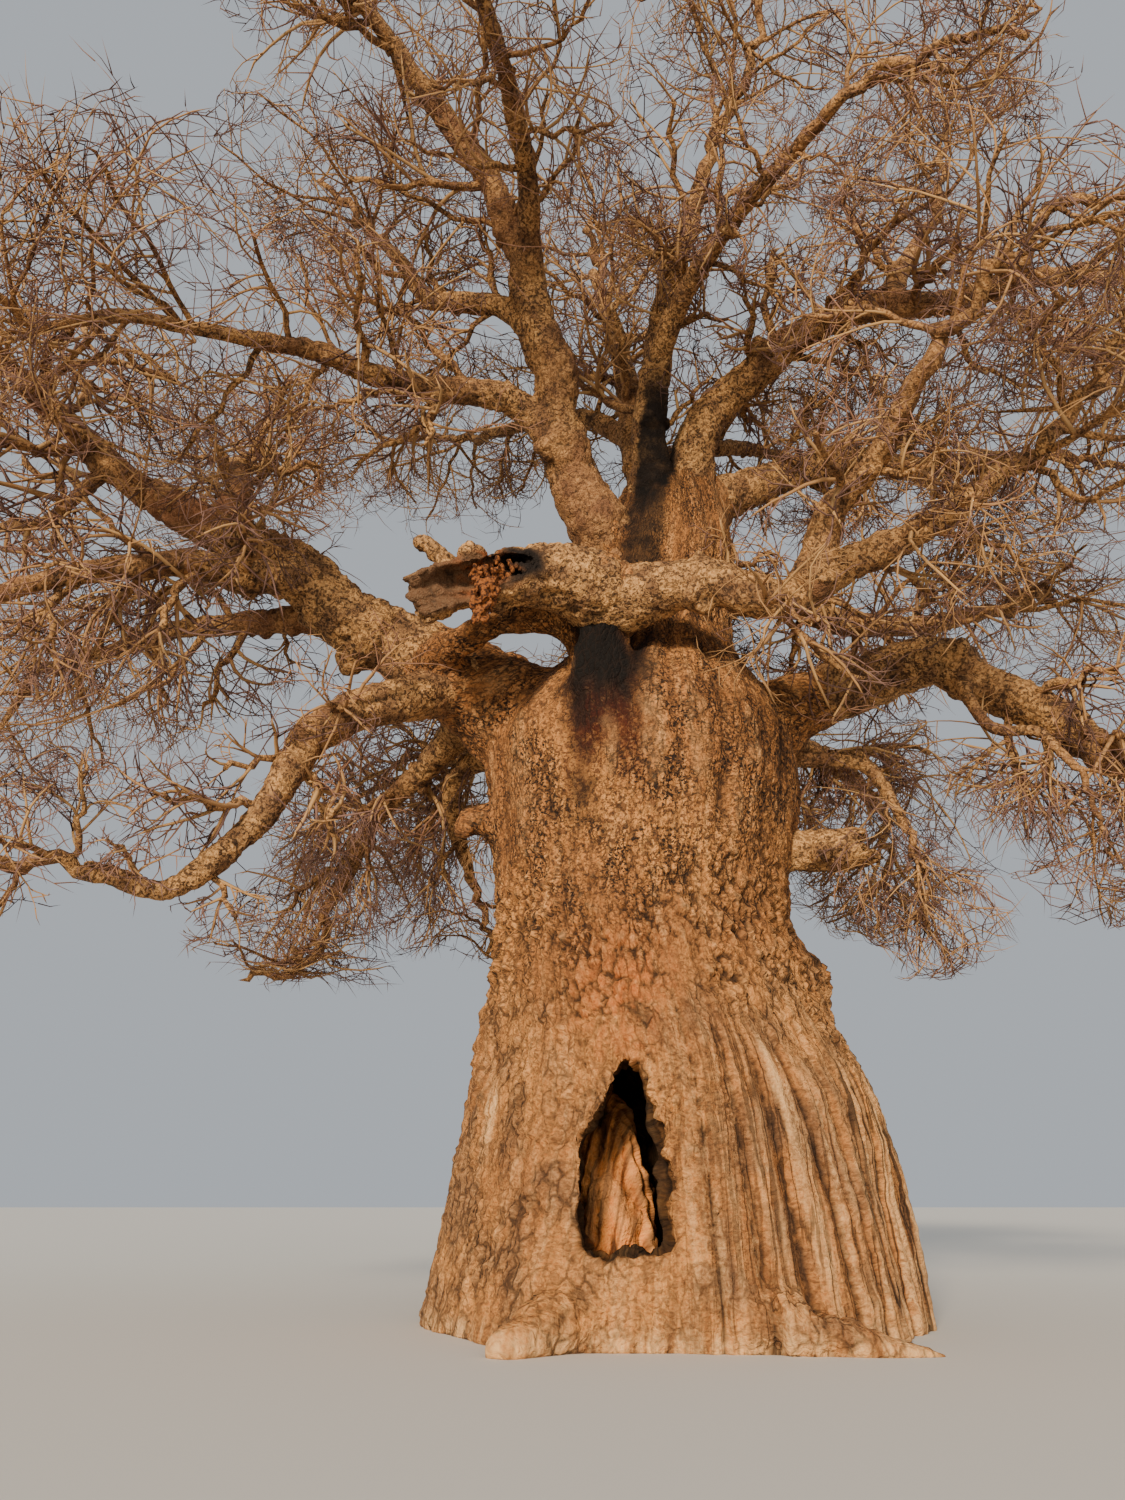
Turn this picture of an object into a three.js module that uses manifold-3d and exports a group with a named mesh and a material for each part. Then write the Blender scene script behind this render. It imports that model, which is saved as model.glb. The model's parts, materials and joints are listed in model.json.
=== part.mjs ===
// A bare baobab, rooted in level ground: one swollen, hollow trunk, its boughs, and a mass of twigs on each
// sound bough.
// Millimetres, +Z up, origin where the trunk's axis meets the ground. The doorway of the hollow faces -Y.
// Bearings are compass degrees seen from above, with 0 along +Y and 90 along +X. A climb is degrees above
// level.

import * as THREE from "three";
import { mergeVertices } from "three/addons/utils/BufferGeometryUtils.js";
import Module from "manifold-3d";

const wasm = await Module();
wasm.setup();

// Clearances
const GAP = 0.3; // between a mass's stem and the tip that it meets
const SEAT = 0.6; // how much wider a parent is made when it trims the foot of its bough
const WELD = 0.001; // vertices nearer than this are one
const TWIG_CLEARANCE = 12; // between a twig and a limb, or the wall of its mass's space

// The trunk's lathe-like body: height, radius, and the drift of its centre along X
const TRUNK_STATIONS = [
  { height: 0, radius: 3420, drift: 0 },
  { height: 900, radius: 3330, drift: 30 },
  { height: 1900, radius: 3210, drift: 40 },
  { height: 3100, radius: 3020, drift: 10 },
  { height: 4300, radius: 2690, drift: -170 },
  { height: 5600, radius: 2450, drift: -330 },
  { height: 6600, radius: 2450, drift: -320 },
  { height: 7900, radius: 2600, drift: -290 },
  { height: 8800, radius: 2600, drift: -330 },
  { height: 9600, radius: 2150, drift: -260 },
  { height: 10300, radius: 1600, drift: -120 },
  { height: 11000, radius: 1370, drift: -40 },
  { height: 12700, radius: 1210, drift: 260 },
  { height: 13800, radius: 960, drift: 320 },
  { height: 14400, radius: 640, drift: 340 },
  { height: 14700, radius: 260, drift: 340 },
];
const TRUNK_SIDES = 32;
const TRUNK_RINGS = 16;

// Buttresses stand out from the trunk and fade upwards; folds are pressed into it between two heights
const BUTTRESSES = [
  { bearing: 97, spread: 17, out: 90, top: 3300 },
  { bearing: 148, spread: 15, out: 330, top: 2300 },
  { bearing: 176, spread: 10, out: 160, top: 2600 },
  { bearing: 214, spread: 15, out: 420, top: 1500 },
  { bearing: 262, spread: 20, out: 200, top: 2200 },
  { bearing: 305, spread: 18, out: 360, top: 2100 },
  { bearing: 345, spread: 15, out: 260, top: 2600 },
  { bearing: 24, spread: 17, out: 380, top: 2000 },
  { bearing: 62, spread: 14, out: 220, top: 2700 },
];
const FOLDS = [
  { bearing: 199, spread: 15, depth: 260, middle: 8700, reach: 2100 },
  { bearing: 128, spread: 12, depth: 240, middle: 1200, reach: 1500 },
  { bearing: 236, spread: 12, depth: 150, middle: 3600, reach: 2300 },
  { bearing: 20, spread: 20, depth: 230, middle: 8200, reach: 2300 },
  { bearing: 322, spread: 13, depth: 190, middle: 6800, reach: 2500 },
  { bearing: 76, spread: 14, depth: 170, middle: 7400, reach: 1900 },
  { bearing: 92, spread: 16, depth: -210, middle: 4950, reach: 420 },
];

// Shoulders, stem, burl and surface roots that grow out of the trunk as one piece of wood
const TRUNK_LOBES = {
  left_shoulder: {
    from: [-700, 0, 7500],
    girth: [1550, 720],
    run: [[1700, -95, 52], [1350, -98, 38], [1250, -105, 26]],
  },
  right_shoulder: {
    from: [500, 0, 8000],
    girth: [1250, 500],
    run: [[1300, 95, 42], [950, 104, 35], [750, 104, 20]],
  },
  front_stem: {
    from: [-950, -1450, 8000],
    girth: [820, 430],
    run: [[1300, -172, 66], [1050, 172, 82]],
  },
  left_burl: {
    from: [-2300, -200, 7250],
    girth: [430, 170],
    run: [[900, -100, 12], [450, -120, -55]],
  },
  arch: {
    from: [-1150, -1500, 9300],
    girth: [380, 250],
    run: [[1150, -112, 72], [900, -96, 6], [1000, -88, -22]],
  },
  front_root: {
    from: [-200, -2900, 420],
    girth: [480, 110],
    run: [[1400, 116, -8], [1650, 96, -11]],
  },
  front_left_root: {
    from: [-1500, -2500, 330],
    girth: [500, 130],
    run: [[900, -158, -8], [800, -130, -14]],
  },
  back_root: {
    from: [900, 2900, 400],
    girth: [480, 130],
    run: [[1200, 40, -12], [900, 55, -14]],
  },
};
const LOBE_SIDES = 8;

// The hollow: a pointed doorway through the front wall, and a round-topped room behind it
const DOOR = {
  middle: -900,
  width: 1120,
  sill: 950,
  sillRise: 120, // how much higher the sill is on the right
  spring: 2150,
  haunch: 2880, // the height of the arch's bulge, which is a share of its half width from the middle
  bulge: 0.6,
  top: 3320,
  lean: 110, // how far right of the middle the point of the arch is
  outside: -4300,
  inside: -1900,
};
const ROOM = {
  middle: [-800, -1150, 2350],
  halfWidth: 1150,
  halfDepth: 1250,
  halfHeight: 1650,
  sides: 10,
  rings: 7,
};

// What lies below the level ground is cut off with this block
const GROUND = { across: 20000, depth: 4000 };

// Boughs. A bough starts at from, a point inside the trunk, or at a share of its parent's length. Its girth
// is the radius at foot and tip. Its run is a list of stretches, each a length, a bearing and a climb. Its
// mass is what the tip carries: how far the twigs reach, the lift of their middle, and how hard they hang.
const BOUGHS = {
  left_bough: {
    parent: "left_shoulder",
    share: 1,
    girth: [690, 330],
    run: [[1800, -105, 26], [1350, -101, 40], [1000, -102, 19], [1150, -107, 26]],
    mass: { reach: 3450, lift: 0.1, hang: 0.1 },
  },
  left_rise_bough: {
    parent: "left_bough",
    share: 0.84,
    girth: [270, 150],
    run: [[1200, 10, 70], [1500, -25, 55], [1400, -12, 35]],
    mass: { reach: 3600, lift: 0.25, hang: -0.2 },
  },
  left_front_bough: {
    parent: "left_bough",
    share: 0.5,
    girth: [290, 140],
    run: [[1350, -142, -22], [1250, -132, -12], [1400, -123, -26], [900, -128, -34]],
    mass: { reach: 3300, lift: -0.15, hang: 0.5 },
  },
  left_far_bough: {
    parent: "left_bough",
    share: 0.24,
    girth: [300, 150],
    run: [[1400, -64, 20], [2500, -76, 5], [1500, -69, -4]],
    mass: { reach: 3450, lift: -0.1, hang: 0.35 },
  },
  left_droop_bough: {
    from: [-3300, -600, 9850],
    girth: [430, 130],
    run: [
      [2200, -118, -26], [800, -124, -40], [750, -142, -66],
      [1300, -127, -62], [1400, -114, -44], [650, -108, 10],
    ],
    mass: { reach: 2200, lift: 0.1, hang: 0.15 },
  },
  left_back_droop_bough: {
    from: [-3300, 200, 9800],
    girth: [330, 130],
    run: [[1800, -34, -22], [1300, -58, -32], [1500, -50, -52]],
    mass: { reach: 2700, lift: -0.3, hang: 0.8 },
  },
  left_under_bough: {
    from: [-2350, 600, 9300],
    girth: [300, 110],
    run: [[1700, -52, -14], [900, -5, -58], [750, 30, -56]],
    mass: { reach: 2100, lift: -0.3, hang: 0.9 },
  },
  broken_bough: {
    from: [-900, -2150, 10600],
    girth: [470, 390],
    run: [[1250, -116, 3], [1050, -112, -18], [1000, -104, -24]],
  },
  cross_bough: {
    from: [-950, -2150, 10550],
    girth: [440, 170],
    run: [[1650, 112, -2], [1250, 110, -20], [1100, 107, 20], [950, 109, 18], [1200, 107, 30]],
    mass: { reach: 3000, lift: 0.1, hang: 0.2 },
  },
  cross_rise_bough: {
    parent: "cross_bough",
    share: 0.55,
    girth: [270, 150],
    run: [[1000, 158, 62], [900, 140, 28], [1000, 160, 26]],
    mass: { reach: 2900, lift: 0.15, hang: 0.1 },
  },
  right_bough: {
    parent: "right_shoulder",
    share: 1,
    girth: [500, 220],
    run: [
      [1400, 103, 16], [620, 100, 0], [1050, 104, -37], [1000, 105, -39],
      [1500, 104, -38], [950, 102, 10], [900, 98, 20],
    ],
    mass: { reach: 3300, lift: -0.1, hang: 0.5 },
  },
  right_hang_bough: {
    parent: "right_bough",
    share: 0.32,
    girth: [125, 70],
    run: [[850, -160, -54], [780, 150, -60], [660, 118, -17], [500, 148, -58]],
    mass: { reach: 1800, lift: -0.3, hang: 0.9 },
  },
  right_small_bough: {
    from: [1500, 150, 8750],
    girth: [200, 90],
    run: [[1550, 100, -6], [550, 102, -18], [420, 118, -58], [400, 150, -66]],
    mass: { reach: 1900, lift: -0.3, hang: 0.9 },
  },
  cut_stub: {
    from: [1200, -150, 6980],
    girth: [360, 320],
    run: [[1100, 100, -2], [1050, 101, -1]],
  },
  right_back_bough: {
    from: [700, 500, 12100],
    girth: [400, 170],
    run: [[2500, 64, 15], [1600, 62, -2], [1900, 68, 9], [1400, 72, 20]],
    mass: { reach: 3500, lift: 0, hang: 0.2 },
  },
  right_mid_bough: {
    from: [600, 100, 13300],
    girth: [480, 160],
    run: [[1500, 90, 44], [1550, 86, 22], [1300, 82, 12], [1400, 76, 8], [1100, 80, 14]],
    mass: { reach: 3450, lift: 0.1, hang: 0 },
  },
  right_high_bough: {
    from: [600, -60, 13700],
    girth: [430, 150],
    run: [
      [1700, 140, 66], [1550, 117, 44], [1950, 115, 17],
      [1900, 109, -9], [1100, 116, -3], [1200, 109, -14],
    ],
    mass: { reach: 3600, lift: 0.1, hang: 0.1 },
  },
  right_high_rise_bough: {
    parent: "right_high_bough",
    share: 0.62,
    girth: [230, 120],
    run: [[1000, 60, 66], [1100, 30, 50], [1100, 80, 60]],
    mass: { reach: 3300, lift: 0.2, hang: -0.2 },
  },
  left_leader: {
    from: [-350, -200, 12300],
    girth: [540, 190],
    run: [[1500, -126, 46], [1300, -137, 56], [1600, -160, 59], [3000, -138, 62], [1700, -128, 42]],
    mass: { reach: 3500, lift: 0.15, hang: -0.1 },
  },
  left_high_bough: {
    parent: "left_leader",
    share: 0.3,
    girth: [290, 130],
    run: [[1200, -112, 30], [2200, -112, -8], [1300, -122, 2], [1300, -132, -22]],
    mass: { reach: 3600, lift: 0.1, hang: 0.2 },
  },
  left_top_bough: {
    parent: "left_leader",
    share: 0.46,
    girth: [250, 130],
    run: [[1350, -98, 54], [1500, -78, 20], [1700, -60, 58]],
    mass: { reach: 3450, lift: 0.15, hang: -0.2 },
  },
  front_left_bough: {
    parent: "left_leader",
    share: 0.62,
    girth: [220, 120],
    run: [[1400, 178, 24], [1900, -172, 10], [1400, -165, 4]],
    mass: { reach: 3200, lift: 0.1, hang: 0.1 },
  },
  mid_leader: {
    from: [80, 200, 13500],
    girth: [400, 160],
    run: [[2600, -40, 80], [2300, -20, 78], [2300, -30, 74]],
    mass: { reach: 3300, lift: 0.1, hang: -0.3 },
  },
  front_leader: {
    from: [100, -300, 13400],
    girth: [400, 150],
    run: [[2000, -165, 76], [1600, 150, 74], [1600, 146, 66], [1500, 140, 64]],
    mass: { reach: 3300, lift: 0.15, hang: -0.3 },
  },
  front_right_bough: {
    parent: "front_leader",
    share: 0.42,
    girth: [220, 120],
    run: [[1500, 160, 30], [1900, 152, 12], [1400, 146, 4]],
    mass: { reach: 3200, lift: 0.1, hang: 0.1 },
  },
  back_low_left_bough: {
    from: [-1250, 950, 9100],
    girth: [560, 170],
    run: [[2700, -42, 26], [2200, -34, 12], [1900, -28, 4], [1300, -30, -6]],
    mass: { reach: 3600, lift: -0.05, hang: 0.3 },
  },
  back_low_right_bough: {
    from: [800, 950, 9100],
    girth: [520, 170],
    run: [[2700, 44, 24], [2200, 36, 11], [1800, 38, 5], [1200, 32, -6]],
    mass: { reach: 3600, lift: -0.05, hang: 0.3 },
  },
  back_mid_bough: {
    from: [100, 300, 11500],
    girth: [430, 160],
    run: [[2300, 8, 36], [2200, 2, 24], [2000, 8, 10]],
    mass: { reach: 3600, lift: 0.05, hang: 0.1 },
  },
  back_high_left_bough: {
    parent: "mid_leader",
    share: 0.34,
    girth: [230, 130],
    run: [[1500, -50, 44], [1900, -42, 30], [1500, -46, 20]],
    mass: { reach: 3600, lift: 0.1, hang: -0.1 },
  },
  back_high_right_bough: {
    parent: "mid_leader",
    share: 0.2,
    girth: [250, 130],
    run: [[1700, 55, 42], [2100, 48, 30], [1600, 45, 22]],
    mass: { reach: 3600, lift: 0.1, hang: -0.1 },
  },
};
const STOUT = 300; // a bough thicker than this at its foot is drawn with more sides
const BOUGH_SIDES = { stout: 7, slender: 5 };
const RINGS_PER_STRETCH = 1.1;
const TAPER = 1.15; // over 1, a limb loses its girth sooner
const COLLAR = { swell: 0.34, fade: 0.9 }; // a bough's swelling at its parent, in girths of its foot

// The hollow, torn end of the broken bough
const TORN_END = { radius: 270, throat: 120, depth: 700, overrun: 40, sides: 9 };
const DEAD_SPUR = { share: 0.86, girth: [190, 110], run: [[700, -60, 74], [420, -100, 38]] };

// The growth rule, by level: 0 is a mass's stem, 1 its branches, 2 their twigs
const RULE = [
  { joints: 4, sides: 4, sway: 0.5, children: 6 },
  { joints: 2, sides: 3, sway: 0.62, children: 2 },
  { joints: 1, sides: 3, sway: 0.7, children: 0 },
];
const AHEAD = 0.5; // how far a mass's middle lies beyond its bough's tip, as a share of the mass's reach
const STEM = { reach: 1.2, girth: 0.96 }; // its length in reaches of the mass, its radius in radii of the tip
const CHILD_LENGTH = [0.84, 0.6];
const CHILD_GIRTH = [0.5, 0.55];
const CHILD_SPAN = { first: 0.2, span: 0.74 }; // the part of a twig's length that bears children
const SHORTENING = 0.4; // how much shorter a child at its parent's very tip is
const LENGTH_SPREAD = { least: 0.75, more: 0.5 };
const TURN_SPREAD = 50; // degrees that a child may stray round its parent
const STEER = { tries: 4, share: 0.35 }; // how a twig turns back towards the middle at the wall of its space
const TIP_GIRTH = 0.42; // a twig's radius just before its point, as a share of its foot's
const SPLAY = { least: 34, most: 72 }; // degrees between a twig and its parent
const PULL = 0.42; // how much the hang turns a twig at each joint
const GOLDEN_TURN = 137.5;
const GOLDEN_SHARE = 0.618;
const FLATTENING = 0.86; // a mass's space is this much lower than it is wide

// What each number drawn from a twig's key decides; a joint's sway takes the numbers from 0 on
const DRAWS = { start: 40, round: 41, stray: 42, splay: 43, length: 44 };

const WOOD = { trunk: 0x9a6b42, bough: 0x8f6540, twig: 0x7d5a48 };

// Helpers for numbers and directions
function heading(bearing, climb) {
  const b = THREE.MathUtils.degToRad(bearing);
  const c = THREE.MathUtils.degToRad(climb);
  return new THREE.Vector3(Math.sin(b) * Math.cos(c), Math.cos(b) * Math.cos(c), Math.sin(c));
}

function turnBetween(a, b) {
  return ((a - b + 540) % 360) - 180;
}

// A number from 0 to 1 that depends only on a twig's key and what it is for
function draw(key, index) {
  let h = Math.imul(key ^ Math.imul(index + 1, 0x9e3779b1), 0x85ebca6b);
  h ^= h >>> 13;
  h = Math.imul(h, 0xc2b2ae35);
  h ^= h >>> 16;
  return (h >>> 0) / 4294967296;
}

function childKey(key, index) {
  return (Math.imul(key, 0x01000193) ^ Math.imul(index + 1, 0x27d4eb2f)) >>> 0;
}

// A cylinder of three.js whose vertices are put where place(share, angle, onWall) says
function shapedCylinder(sides, rings, pointed, place) {
  const geometry = new THREE.CylinderGeometry(pointed ? 0 : 1, 1, 1, sides, rings);
  const position = geometry.getAttribute("position");
  const vertex = new THREE.Vector3();
  for (let i = 0; i < position.count; i++) {
    vertex.fromBufferAttribute(position, i);
    const onWall = Math.hypot(vertex.x, vertex.z) > 1e-6;
    const placed = place(vertex.y + 0.5, Math.atan2(vertex.x, vertex.z), onWall);
    position.setXYZ(i, placed.x, placed.y, placed.z);
  }
  return geometry;
}

function solidOf(geometry) {
  geometry.deleteAttribute("normal");
  geometry.deleteAttribute("uv");
  const merged = mergeVertices(geometry, WELD);
  return new wasm.Manifold(
    new wasm.Mesh({
      numProp: 3,
      vertProperties: merged.getAttribute("position").array,
      triVerts: new Uint32Array(merged.index.array),
    }),
  );
}

// The main body of a cut solid, without the crumbs that a cut leaves
function largestBody(solid) {
  return solid.decompose().reduce((best, body) => (body.volume() > best.volume() ? body : best));
}

function meshOf(name, solid, colour) {
  const mesh = solid.getMesh();
  const geometry = new THREE.BufferGeometry();
  geometry.setAttribute("position", new THREE.BufferAttribute(mesh.vertProperties, mesh.numProp));
  geometry.setIndex(new THREE.BufferAttribute(mesh.triVerts, 1));
  geometry.computeVertexNormals();
  const material = new THREE.MeshStandardMaterial({ color: colour, roughness: 0.9, metalness: 0 });
  const made = new THREE.Mesh(geometry, material);
  made.name = name;
  return made;
}

// A limb's centre line through the joints of its stretches
function limbCurve(start, run) {
  const joints = [start.clone()];
  for (const [length, bearing, climb] of run) {
    joints.push(joints.at(-1).clone().addScaledVector(heading(bearing, climb), length));
  }
  return new THREE.CatmullRomCurve3(joints, false, "centripetal");
}

function limbRadius(limb, share) {
  const [foot, tip] = limb.girth;
  const length = limb.curve.getLength();
  const taper = tip + (foot - tip) * (1 - share) ** TAPER;
  if (!limb.collar) return taper;
  const out = (share * length) / (limb.sunk + foot * COLLAR.fade);
  return taper + foot * COLLAR.swell * Math.exp(-out * out);
}

// A limb is a tube along its curve, in frames that don't twist; extra makes it wider and longer
function limbSolid(limb, extra = 0) {
  const sides = limb.sides ?? (limb.girth[0] > STOUT ? BOUGH_SIDES.stout : BOUGH_SIDES.slender);
  const rings = Math.ceil(RINGS_PER_STRETCH * limb.run.length);
  const frames = limb.curve.computeFrenetFrames(rings, false);
  const tube = shapedCylinder(sides, rings, false, (share, angle, onWall) => {
    const at = Math.round(share * rings);
    const along = frames.tangents[at];
    const centre = limb.curve.getPointAt(share);
    if (at === 0) centre.addScaledVector(along, -extra);
    if (at === rings) centre.addScaledVector(along, extra);
    if (!onWall) return centre;
    const across = frames.normals[at];
    const other = new THREE.Vector3().crossVectors(across, along);
    const radius = limbRadius(limb, share) + extra;
    centre.addScaledVector(across, Math.sin(angle) * radius);
    return centre.addScaledVector(other, Math.cos(angle) * radius);
  });
  return solidOf(tube);
}

// The trunk's body
function smoothStation(height, field) {
  const rows = TRUNK_STATIONS;
  const next = Math.max(1, rows.findIndex((row) => row.height >= height));
  const at = (index) => rows[Math.min(rows.length - 1, Math.max(0, index))];
  const low = at(next - 1);
  const high = at(next);
  const span = high.height - low.height;
  const t = THREE.MathUtils.clamp((height - low.height) / span, 0, 1);
  const slopeAt = (index) => {
    const before = at(index - 1);
    const after = at(index + 1);
    return ((after[field] - before[field]) / (after.height - before.height)) * span;
  };
  const t2 = t * t;
  const t3 = t2 * t;
  return (
    (2 * t3 - 3 * t2 + 1) * low[field] + (t3 - 2 * t2 + t) * slopeAt(next - 1) +
    (3 * t2 - 2 * t3) * high[field] + (t3 - t2) * slopeAt(next)
  );
}

function trunkRadius(bearing, height) {
  let radius = smoothStation(height, "radius");
  for (const rib of BUTTRESSES) {
    const away = turnBetween(bearing, rib.bearing) / rib.spread;
    radius += rib.out * Math.exp(-away * away) * Math.exp(-((height / rib.top) ** 1.5));
  }
  for (const fold of FOLDS) {
    const away = turnBetween(bearing, fold.bearing) / fold.spread;
    const up = (height - fold.middle) / fold.reach;
    radius -= fold.depth * Math.exp(-away * away - up * up);
  }
  return radius;
}

function trunkBody(extra) {
  const top = TRUNK_STATIONS.at(-1).height;
  return solidOf(
    shapedCylinder(TRUNK_SIDES, TRUNK_RINGS, false, (share, angle, onWall) => {
      const height = share * top;
      // The cylinder stands up with its third axis along -Y, which keeps its faces outward
      const bearing = 180 - THREE.MathUtils.radToDeg(angle);
      const radius = onWall ? trunkRadius(bearing, height) + extra : 0;
      const drift = smoothStation(height, "drift");
      return new THREE.Vector3(drift + Math.sin(angle) * radius, -Math.cos(angle) * radius, height);
    }),
  );
}

function doorSolid() {
  const half = DOOR.width / 2;
  const arch = new THREE.Shape();
  arch.moveTo(-half, DOOR.sill);
  arch.lineTo(half, DOOR.sill + DOOR.sillRise);
  arch.lineTo(half, DOOR.spring);
  arch.quadraticCurveTo(half * DOOR.bulge, DOOR.haunch, DOOR.lean, DOOR.top);
  arch.quadraticCurveTo(-half * DOOR.bulge, DOOR.haunch, -half, DOOR.spring);
  const depth = DOOR.inside - DOOR.outside;
  const geometry = new THREE.ExtrudeGeometry(arch, { depth, bevelEnabled: false, curveSegments: 3 });
  geometry.rotateX(Math.PI / 2);
  geometry.translate(DOOR.middle, DOOR.inside, 0);
  return solidOf(geometry);
}

function roomSolid() {
  const geometry = new THREE.SphereGeometry(1, ROOM.sides, ROOM.rings);
  geometry.rotateX(Math.PI / 2);
  geometry.scale(ROOM.halfWidth, ROOM.halfDepth, ROOM.halfHeight);
  geometry.translate(...ROOM.middle);
  return solidOf(geometry);
}

function groundBlock() {
  const geometry = new THREE.BoxGeometry(GROUND.across, GROUND.across, GROUND.depth);
  geometry.translate(0, 0, -GROUND.depth / 2);
  return solidOf(geometry);
}

function trunkSolid(extra) {
  let solid = trunkBody(extra);
  for (const lobe of Object.values(TRUNK_LOBES)) {
    solid = solid.add(limbSolid(lobe, extra));
  }
  return solid;
}

// The torn end of the broken bough is a cone that opens outwards
function tornEnd(limb) {
  const end = limb.curve.getPointAt(1);
  const outward = limb.curve.getTangentAt(1);
  const { radius, throat, depth, overrun, sides } = TORN_END;
  const geometry = new THREE.CylinderGeometry(radius, throat, depth, sides);
  geometry.translate(0, overrun - depth / 2, 0);
  geometry.applyQuaternion(new THREE.Quaternion().setFromUnitVectors(new THREE.Vector3(0, 1, 0), outward));
  geometry.translate(end.x, end.y, end.z);
  return solidOf(geometry);
}

function parentOf(bough) {
  return BOUGHS[bough.parent] ?? TRUNK_LOBES[bough.parent];
}

function deadSpur(limb) {
  const foot = limb.curve.getPointAt(DEAD_SPUR.share);
  return limbSolid({ ...DEAD_SPUR, curve: limbCurve(foot, DEAD_SPUR.run), collar: false });
}

// Every limb gets its curve, and how far its foot is sunk in its parent
function prepareLimbs() {
  for (const lobe of Object.values(TRUNK_LOBES)) {
    lobe.curve = limbCurve(new THREE.Vector3(...lobe.from), lobe.run);
    lobe.collar = false;
    lobe.sides = LOBE_SIDES;
  }
  for (const [name, bough] of Object.entries(BOUGHS)) {
    const parent = parentOf(bough);
    const start = parent ? parent.curve.getPointAt(bough.share) : new THREE.Vector3(...bough.from);
    bough.name = name;
    bough.curve = limbCurve(start, bough.run);
    bough.collar = bough.share !== 1;
    bough.sunk = parent ? limbRadius(parent, bough.share) : bough.girth[0];
  }
}

// The space of each mass: an ellipsoid, cut off half way to the middles of the other masses
function prepareMasses() {
  const masses = [];
  for (const bough of Object.values(BOUGHS)) {
    if (!bough.mass) continue;
    const tip = bough.curve.getPointAt(1);
    const [, bearing, climb] = bough.run.at(-1);
    const ahead = heading(bearing, climb);
    const { reach, lift, hang } = bough.mass;
    const middle = tip.clone().addScaledVector(ahead, AHEAD * reach);
    middle.z += lift * reach;
    masses.push({ bearer: bough, tip, ahead, reach, hang, middle, key: masses.length + 1 });
  }
  return masses;
}

function insideSpace(mass, masses, point, radius) {
  const offset = point.clone().sub(mass.middle);
  const room = radius + TWIG_CLEARANCE;
  const across = mass.reach - room;
  const up = mass.reach * FLATTENING - room;
  if ((offset.x / across) ** 2 + (offset.y / across) ** 2 + (offset.z / up) ** 2 > 1) return false;
  for (const other of masses) {
    if (other === mass) continue;
    const toOther = other.middle.clone().sub(mass.middle);
    if (offset.dot(toOther) / toOther.length() > toOther.length() / 2 - room) return false;
  }
  return true;
}

// The limbs as short straight stretches with a radius, for testing how near a twig comes
function limbStretches() {
  const stretches = [];
  const limbs = [...Object.values(TRUNK_LOBES), ...Object.values(BOUGHS)];
  for (const limb of limbs) {
    const count = 2 * limb.run.length;
    for (let i = 0; i < count; i++) {
      const line = new THREE.Line3(limb.curve.getPointAt(i / count), limb.curve.getPointAt((i + 1) / count));
      stretches.push({ line, radius: limbRadius(limb, i / count), limb });
    }
  }
  return stretches;
}

// The shortest way between two straight stretches
function stretchDistance(a, b) {
  const u = a.end.clone().sub(a.start);
  const v = b.end.clone().sub(b.start);
  const w = a.start.clone().sub(b.start);
  const uu = u.dot(u);
  const vv = v.dot(v);
  const uv = u.dot(v);
  const spread = uu * vv - uv * uv;
  let s = spread > 1e-6 * uu * vv ? (uv * v.dot(w) - vv * u.dot(w)) / spread : 0;
  s = THREE.MathUtils.clamp(s, 0, 1);
  const t = THREE.MathUtils.clamp((uv * s + v.dot(w)) / vv, 0, 1);
  s = THREE.MathUtils.clamp((uv * t - u.dot(w)) / uu, 0, 1);
  return w.addScaledVector(u, s).addScaledVector(v, -t).length();
}

function clearOfTrunk(point, radius) {
  const top = TRUNK_STATIONS.at(-1).height;
  if (point.z > top + radius) return true;
  const height = THREE.MathUtils.clamp(point.z, 0, top);
  const drift = smoothStation(height, "drift");
  const bearing = THREE.MathUtils.radToDeg(Math.atan2(point.x - drift, point.y));
  return Math.hypot(point.x - drift, point.y) > trunkRadius(bearing, height) + radius + TWIG_CLEARANCE;
}

function clearOfWood(step, radius, stretches, bearer) {
  const checks = 4;
  for (let i = 1; i <= checks; i++) {
    if (!clearOfTrunk(step.at(i / checks, new THREE.Vector3()), radius)) return false;
  }
  return stretches.every(
    (stretch) =>
      stretch.limb === bearer ||
      stretchDistance(step, stretch.line) > stretch.radius + radius + TWIG_CLEARANCE,
  );
}

// One twig by the rule: each joint that would leave the space or meet a limb turns back, or ends the twig
function growTwig(twig, mass, masses, stretches) {
  const { joints, sway } = RULE[twig.level];
  const points = [twig.start.clone()];
  const direction = twig.direction.clone();
  for (let i = 0; i < joints; i++) {
    const isFoot = twig.level === 0 && i === 0;
    if (!isFoot) {
      direction.x += sway * (draw(twig.key, 3 * i) - 0.5);
      direction.y += sway * (draw(twig.key, 3 * i + 1) - 0.5);
      direction.z += sway * (draw(twig.key, 3 * i + 2) - 0.5) - PULL * mass.hang;
      direction.normalize();
    }
    const last = points.at(-1);
    const inward = mass.middle.clone().sub(last).normalize();
    let next = null;
    for (let attempt = 0; attempt < STEER.tries && !next; attempt++) {
      const point = last.clone().addScaledVector(direction, twig.length / joints);
      const fits =
        (isFoot || insideSpace(mass, masses, point, twig.radius)) &&
        clearOfWood(new THREE.Line3(last, point), twig.radius, stretches, isFoot ? mass.bearer : null);
      if (fits) next = point;
      else direction.lerp(inward, STEER.share).normalize();
    }
    if (!next) break;
    points.push(next);
  }
  return points;
}

// An axis that is well away from a direction
function guideFor(direction) {
  return Math.abs(direction.z) > 0.8 ? new THREE.Vector3(1, 0, 0) : new THREE.Vector3(0, 0, 1);
}

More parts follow.
